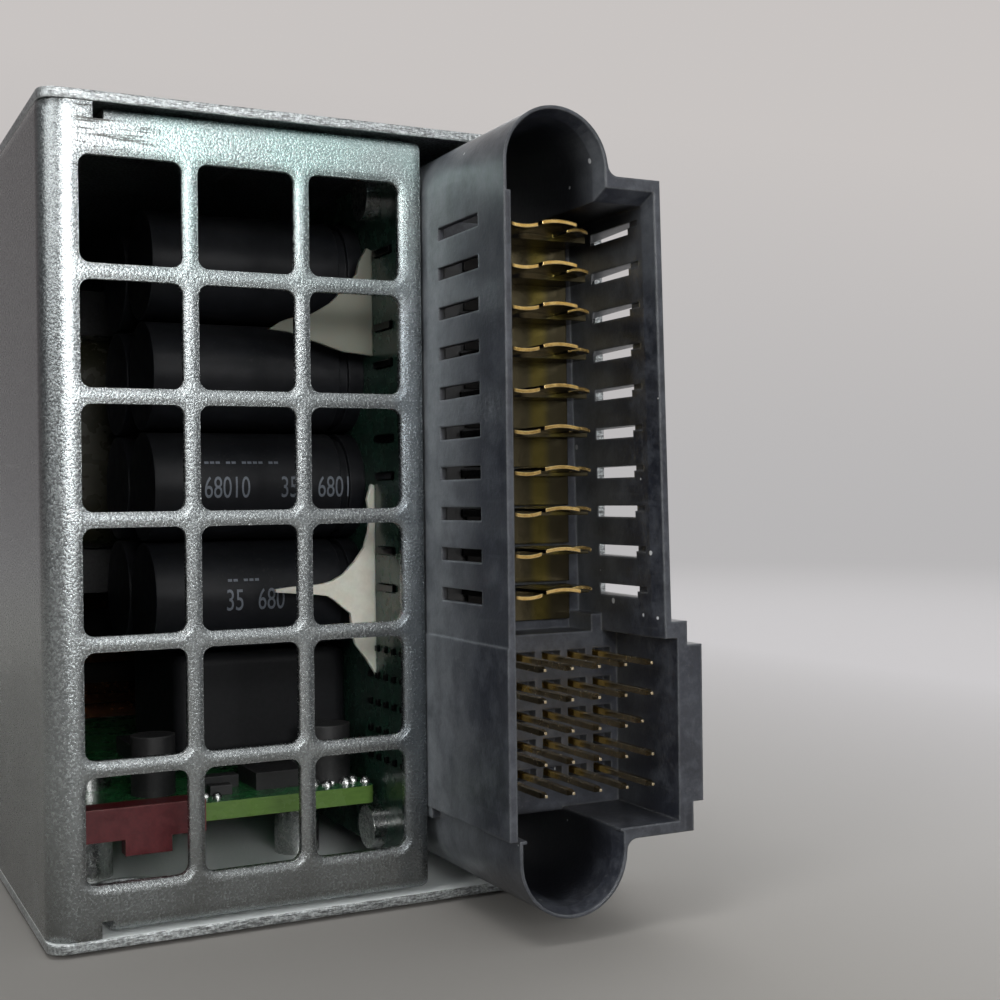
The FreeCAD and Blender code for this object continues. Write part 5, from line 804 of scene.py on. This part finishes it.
# %% [markdown]
# ## The fan end
# A black moulded fan turns on its stator behind a plated wire guard, and beside it
# is a black mains inlet with bright pins.

# %% Finishes of the fan and the inlet
fan_plastic = finish_for(
    "fan plastic", (0.012, 0.012, 0.013), (0.034, 0.034, 0.036), rough=(0.32, 0.5), size=2200.0,
    edge_tone=(0.12, 0.12, 0.125), dust=0.2)
stator = finish_for(
    "fan stator", (0.30, 0.30, 0.31), (0.5, 0.5, 0.51), metallic=1.0, rough=(0.3, 0.5),
    size=2000.0)
guard_wire = finish_for(
    "guard wire", (0.5, 0.51, 0.52), (0.78, 0.79, 0.8), metallic=1.0, rough=(0.14, 0.28),
    size=1500.0, dust=0.05)
inlet_plastic = finish_for(
    "inlet plastic", (0.012, 0.012, 0.013), (0.032, 0.032, 0.034), rough=(0.28, 0.46), size=2400.0,
    edge_tone=(0.12, 0.12, 0.12), dust=0.15)
blade_metal = finish_for(
    "inlet pin metal", (0.55, 0.54, 0.5), (0.8, 0.79, 0.75), metallic=1.0, rough=(0.18, 0.32),
    size=1600.0, lines=0.4)
dress(fan_plastic, "fan_frame", "fan_rotor")
dress(stator, "fan_stator")
dress(guard_wire, "fan_guard")
dress(inlet_plastic, "inlet_body")
dress(blade_metal, "inlet_pins")
print("dressed so far:", len(dressed))

# %% [markdown]
# What a hand touches comes last: a bent wire handle with a ribbed rubber grip, the
# brackets that hold it, a moulded latch, and the clear light pipe that shows the
# supply's state.

# %% Finishes of the handle, the latch and the light
handle_wire = finish_for(
    "handle wire", (0.5, 0.51, 0.52), (0.78, 0.79, 0.8), metallic=1.0, rough=(0.16, 0.3),
    size=1400.0, lines=0.3)
grip_rubber = finish_for(
    "grip rubber", (0.012, 0.012, 0.012), (0.03, 0.03, 0.03), rough=(0.55, 0.75), size=2600.0,
    clouds=0.4, glitter=0.5, bump=0.00002, edge_tone=(0.08, 0.08, 0.08), edge_share=0.5, dust=0.35)
bracket_steel = finish_for(
    "bracket steel", ZINC_DARK, ZINC_LIGHT, metallic=1.0, rough=(0.28, 0.46), size=1600.0,
    edge_tone=EDGE_BRIGHT, lines=0.3)
latch_plastic = finish_for(
    "latch plastic", (0.05, 0.16, 0.36), (0.09, 0.25, 0.5), rough=(0.3, 0.48),
    edge_tone=(0.3, 0.45, 0.66), dust=0.1)
light_pipe = finish_for(
    "light pipe", (0.55, 0.8, 0.6), (0.75, 0.95, 0.78), rough=(0.08, 0.18), size=1500.0,
    fixed={"Transmission Weight": 0.6, "IOR": 1.49})
dress(handle_wire, "handle_bail", "latch_spring")
dress(grip_rubber, "handle_grip")
dress(bracket_steel, "handle_brackets", "latch_bracket")
dress(latch_plastic, "latch_lever")
dress(light_pipe, "status_light")
print("pieces without a finish:", len(set(nodes) - dressed))

# %% [markdown]
# ## New pieces
# Shapes that the frame leaves out start from a bmesh operator or from text.
# `as_piece` turns a finished bmesh into an object at the origin that rides on a
# body, with its place in its mesh, as the frame's own pieces have it.

# %% Helper for new pieces
def to_object(name, shape, material, smooth):
    mesh = bpy.data.meshes.new(name)
    shape.to_mesh(mesh)
    shape.free()
    mesh.materials.append(material)
    if smooth:
        for face in mesh.polygons:
            face.use_smooth = True
    made = bpy.data.objects.new(name, mesh)
    scene.collection.objects.link(made)
    print("made", name, "with", len(mesh.polygons), "faces")
    return made


def as_piece(name, shape, material, body="case", smooth=False):
    piece = to_object(name, shape, material, smooth)
    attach(piece, body)


# %% [markdown]
# ## Marks on the capacitors
# Each capacitor sleeve carries a rating in pale ink. Plain numbers in Blender's own
# font stand for it: the text is made a mesh, laid along the can, and then every
# corner is wrapped round the sleeve, so the ink follows the curve.

# %% Wrapping text round a can
NARROW = 0.62


def wrapped_text(words, size, start, centre, radius):
    """Flat text laid along +X from start and wrapped round a can whose axis is along X."""
    curve = bpy.data.curves.new("words", "FONT")
    curve.body = words
    curve.size = size
    shown = bpy.data.objects.new("words", curve)
    scene.collection.objects.link(shown)
    mesh = bpy.data.meshes.new_from_object(shown)
    bpy.data.objects.remove(shown)
    shape = bmesh.new()
    shape.from_mesh(mesh)
    bpy.data.meshes.remove(mesh)
    bmesh.ops.subdivide_edges(shape, edges=shape.edges, cuts=1)
    for corner in shape.verts:
        angle = (corner.co.y + start[1]) / radius
        corner.co = Vector((start[0] + NARROW * corner.co.x,
                            centre[0] - radius * math.cos(angle),
                            centre[1] + radius * math.sin(angle)))
    return shape


# %% [markdown]
# Two rows of cans show their marks. A row has the height of its cans' axes, and a
# mark has its words, where they begin along the can, how tall the letters are and
# how far up the sleeve their foot is.

# %% Rating marks
ink = finish_for(
    "pale ink", (0.080, 0.092, 0.112), (0.15, 0.17, 0.20), rough=(0.4, 0.6), size=5000.0,
    clouds=0.2, glitter=0.6)
CAN_R = 0.00503
CAN_Y = GRILLE_FACE + 0.0166
ROWS = (("third", 0.0370, (("68010", -0.0096, 0.0028, -0.0011),
                           ("35", -0.0024, 0.0028, -0.0011),
                           ("6801", 0.0012, 0.0028, -0.0011),
                           ("--- -- ---- --", -0.0095, 0.0026, 0.0016))),
        ("fourth", 0.0268, (("35", -0.0077, 0.0028, -0.0012),
                            ("680", -0.0047, 0.0028, -0.0012),
                            ("-- ---", -0.0075, 0.0026, 0.0010))))
for row, height, marks in ROWS:
    for number, (words, start, size, rise) in enumerate(marks):
        shape = wrapped_text(words, size, (start, rise), (CAN_Y, height), CAN_R)
        as_piece(f"mark_{row}_{number}", shape, ink)

# %% [markdown]
# ## Solder on the small board
# The leads that come up through the small board end in lumps of solder, which catch
# the light through the bottom windows. Each is a squashed ball, half sunk into the
# board, and together they are one piece. A lump has its place from the board's
# right end and front edge, and its radius, in millimetres.

# %% Solder lumps
TALLER = 1.3
LUMPS = ((0.4, 1.6, 0.50), (1.3, 2.6, 0.55), (2.3, 1.7, 0.60), (3.3, 2.8, 0.45),
         (4.2, 1.5, 0.50), (5.2, 2.4, 0.60), (6.1, 1.6, 0.45), (14.6, 1.5, 0.45),
         (15.4, 2.3, 0.35), (22.8, 1.8, 0.40))
small_board = bpy.data.objects["daughter_board"].data.vertices
board_top = max(corner.co.z for corner in small_board)
board_front = min(corner.co.y for corner in small_board)
board_right = max(corner.co.x for corner in small_board)
lumps = bmesh.new()
for left, back, radius in LUMPS:
    ball = bmesh.ops.create_icosphere(lumps, subdivisions=3, radius=radius * MM)["verts"]
    bmesh.ops.scale(lumps, vec=(1, 1, TALLER), verts=ball)
    place = (board_right - left * MM, board_front + back * MM, board_top)
    bmesh.ops.translate(lumps, vec=place, verts=ball)
solder = finish_for(
    "solder", (0.42, 0.43, 0.42), (0.74, 0.75, 0.73), metallic=1.0, rough=(0.16, 0.34),
    size=3000.0, clouds=0.4)
as_piece("solder_lumps", lumps, solder, smooth=True)
print("board top at", round(board_top / MM, 2), "mm, its right end at", round(board_right / MM, 2))

# %% [markdown]
# ## Floor, backdrop and light
# The sweep is a floor that curves up into a backdrop, one pale surface with no
# line between them. Its back corner is a single edge that a bevel with many
# segments turns into the curve.
#
# Near the machine the paper is plain diffuse, so that it keeps the machine's shadow, and on top of
# that its colour is painted: darker near the machine and to its left, a painted shadow, and paler
# on the right, painted light from the side the key light comes from. Further off it fades into an
# even tone that only the camera and reflections see. That way the backdrop needs no lamp of its
# own, and no horizon shows where the lamplight falls off. Left of the machine that tone is painted
# dark, for the long side wall to reflect.

# %% Paper
PAPER = (0.285, 0.272, 0.255)
PAPER_RIGHT = (0.56, 0.54, 0.545)
BACKDROP_LOW = (0.480, 0.470, 0.474)
BACKDROP_HIGH = (0.580, 0.552, 0.540)
BACKDROP_LEFT = (0.13, 0.115, 0.118)
PALER_ACROSS = (0.02, 0.16)
HIGHER = (0.0, 0.75)
DARKER_ACROSS = (-0.5, 0.2)
FADE_NEAR, FADE_FAR = 0.14, 0.62


def make_paper():
    made = bpy.data.materials.new("sweep paper")
    made.use_nodes = True
    tree = made.node_tree
    diffuse = tree.nodes["Principled BSDF"]
    diffuse.inputs["Roughness"].default_value = 0.9
    diffuse.inputs["Specular IOR Level"].default_value = 0.15
    # Painted shadow and light on the floor: darker near and left of the machine, paler on the
    # right.
    near = mixed(tree, along(tree, "X", PALER_ACROSS), PAPER, PAPER_RIGHT)
    tree.links.new(near, diffuse.inputs["Base Color"])
    tone = mixed(tree, along(tree, "Z", HIGHER), BACKDROP_LOW, BACKDROP_HIGH)
    tone = mixed(tree, along(tree, "X", DARKER_ACROSS), BACKDROP_LEFT, tone)
    glow = put(tree, "ShaderNodeEmission", {"Color": tone, "Strength": 1.0})
    ray = put(tree, "ShaderNodeLightPath").outputs
    seen = maths(tree, "MAXIMUM", ray["Is Camera Ray"], ray["Is Glossy Ray"])
    seen = maths(tree, "MAXIMUM", seen, ray["Is Transmission Ray"])
    reach = put(tree, "ShaderNodeVectorMath", {0: object_place(tree)}, operation="LENGTH")
    far = put(tree, "ShaderNodeMapRange", {"Value": reach.outputs["Value"], "From Min": FADE_NEAR,
                                           "From Max": FADE_FAR}, interpolation_type="SMOOTHSTEP")
    both = put(tree, "ShaderNodeMixShader", {0: times(tree, far.outputs["Result"], seen),
                                             1: diffuse.outputs[0], 2: glow.outputs[0]})
    tree.links.new(both.outputs[0], tree.nodes["Material Output"].inputs["Surface"])
    return made


# %% Sweep
FLOOR_HALF = 2.4
FLOOR_PLACE = (0, -0.2, -0.0004)
BACK_FROM = 1.5
WALL_HEIGHT = 2.4
NEAR_FLOOR = 0.1
CURVE = 1.2


def make_sweep():
    shape = bmesh.new()
    bmesh.ops.create_grid(shape, x_segments=1, y_segments=1, size=FLOOR_HALF)
    bmesh.ops.translate(shape, vec=FLOOR_PLACE, verts=shape.verts)
    back = [e for e in shape.edges if all(v.co.y > BACK_FROM for v in e.verts)]
    wall = bmesh.ops.extrude_edge_only(shape, edges=back)
    new = [g for g in wall["geom"] if isinstance(g, bmesh.types.BMVert)]
    bmesh.ops.translate(shape, vec=(0, 0, WALL_HEIGHT), verts=new)
    shape.edges.ensure_lookup_table()
    low = [v for v in shape.verts if v.co.y > BACK_FROM and v.co.z < NEAR_FLOOR]
    corner = [e for e in shape.edges if all(v in low for v in e.verts)]
    bmesh.ops.bevel(shape, geom=corner, offset=CURVE, offset_type="OFFSET", affect="EDGES",
                    segments=32, profile=0.5, material=-1)
    return shape


sweep = to_object("sweep", make_sweep(), make_paper(), smooth=True)

# %% [markdown]
# The key light is a wide soft box above and behind the right side, so that the
# shadow falls forwards and to the left. A low wide box in front gives the grille
# something bright to reflect, brighter for its top bars than for its bottom ones,
# and one on the left does that for the bend of the cover. Two small lamps make the
# metal's grain and rounded edges sparkle, which a wide box never does, and a low
# one shines through the lowest windows on to the bottom plate. All six are plain
# white, and the camera sees none of them.

# %% Lights
LAMPS = (
    # name, power in watts, width and height, where it hangs, what it points at
    ("key box", 11.0, (1.2, 1.0), (0.65, 0.55, 1.05), (0, -0.08, 0.03)),
    ("front box", 1.25, (1.6, 0.55), (0.12, -1.05, 0.43), (0, -0.1, 0.05)),
    ("left box", 2.4, (0.40, 0.45), (-0.90, -0.50, 0.42), (-0.02, -0.11, 0.05)),
    ("small lamp", 0.55, (0.20, 0.20), (0.08, -0.92, 0.62), (0, -0.11, 0.04)),
    ("low lamp", 0.75, (0.16, 0.10), (-0.05, -0.55, 0.14), (0, -0.09, 0.0)),
    ("ceiling lamp", 1.8, (0.24, 0.24), (-0.30, -0.32, 1.0), (0, -0.11, 0.04)))
for name, power, size, place, target in LAMPS:
    lamp = bpy.data.lights.new(name, "AREA")
    lamp.shape = "RECTANGLE"
    lamp.size, lamp.size_y = size
    lamp.energy = power
    light = bpy.data.objects.new(name, lamp)
    light.location = place
    light.rotation_euler = (Vector(target) - Vector(place)).to_track_quat("-Z", "Y").to_euler()
    light.visible_camera = False
    scene.collection.objects.link(light)
print("lamps:", len(LAMPS))

# %% [markdown]
# The world fills what the lamps leave, a shade cooler than they are. It is bright
# overhead and dim near the horizon, dimmer on the left, so that a shiny wall shades
# from top to bottom in the way that it does in a real room. The camera sees the
# backdrop's own tone there instead.

# %% World
ROOM_TONE = (0.95, 0.98, 1.0)

world = bpy.data.worlds.new("studio")
scene.world = world
world.use_nodes = True
tree = world.node_tree
backing = tree.nodes["Background"].inputs
sky = put(tree, "ShaderNodeTexCoord").outputs["Generated"]
way = put(tree, "ShaderNodeSeparateXYZ", {0: sky}).outputs
climb = spread(tree, way["Z"], 0.0, 0.8, 0.2, 0.62)
side = spread(tree, way["X"], -0.9, 0.4, 0.45, 1.0)
ray = put(tree, "ShaderNodeLightPath").outputs["Is Camera Ray"]
tree.links.new(mixed(tree, ray, ROOM_TONE, BACKDROP_HIGH), backing["Color"])
tree.links.new(blended(tree, ray, times(tree, climb, side), 1.0), backing["Strength"])
print("world:", world.name)
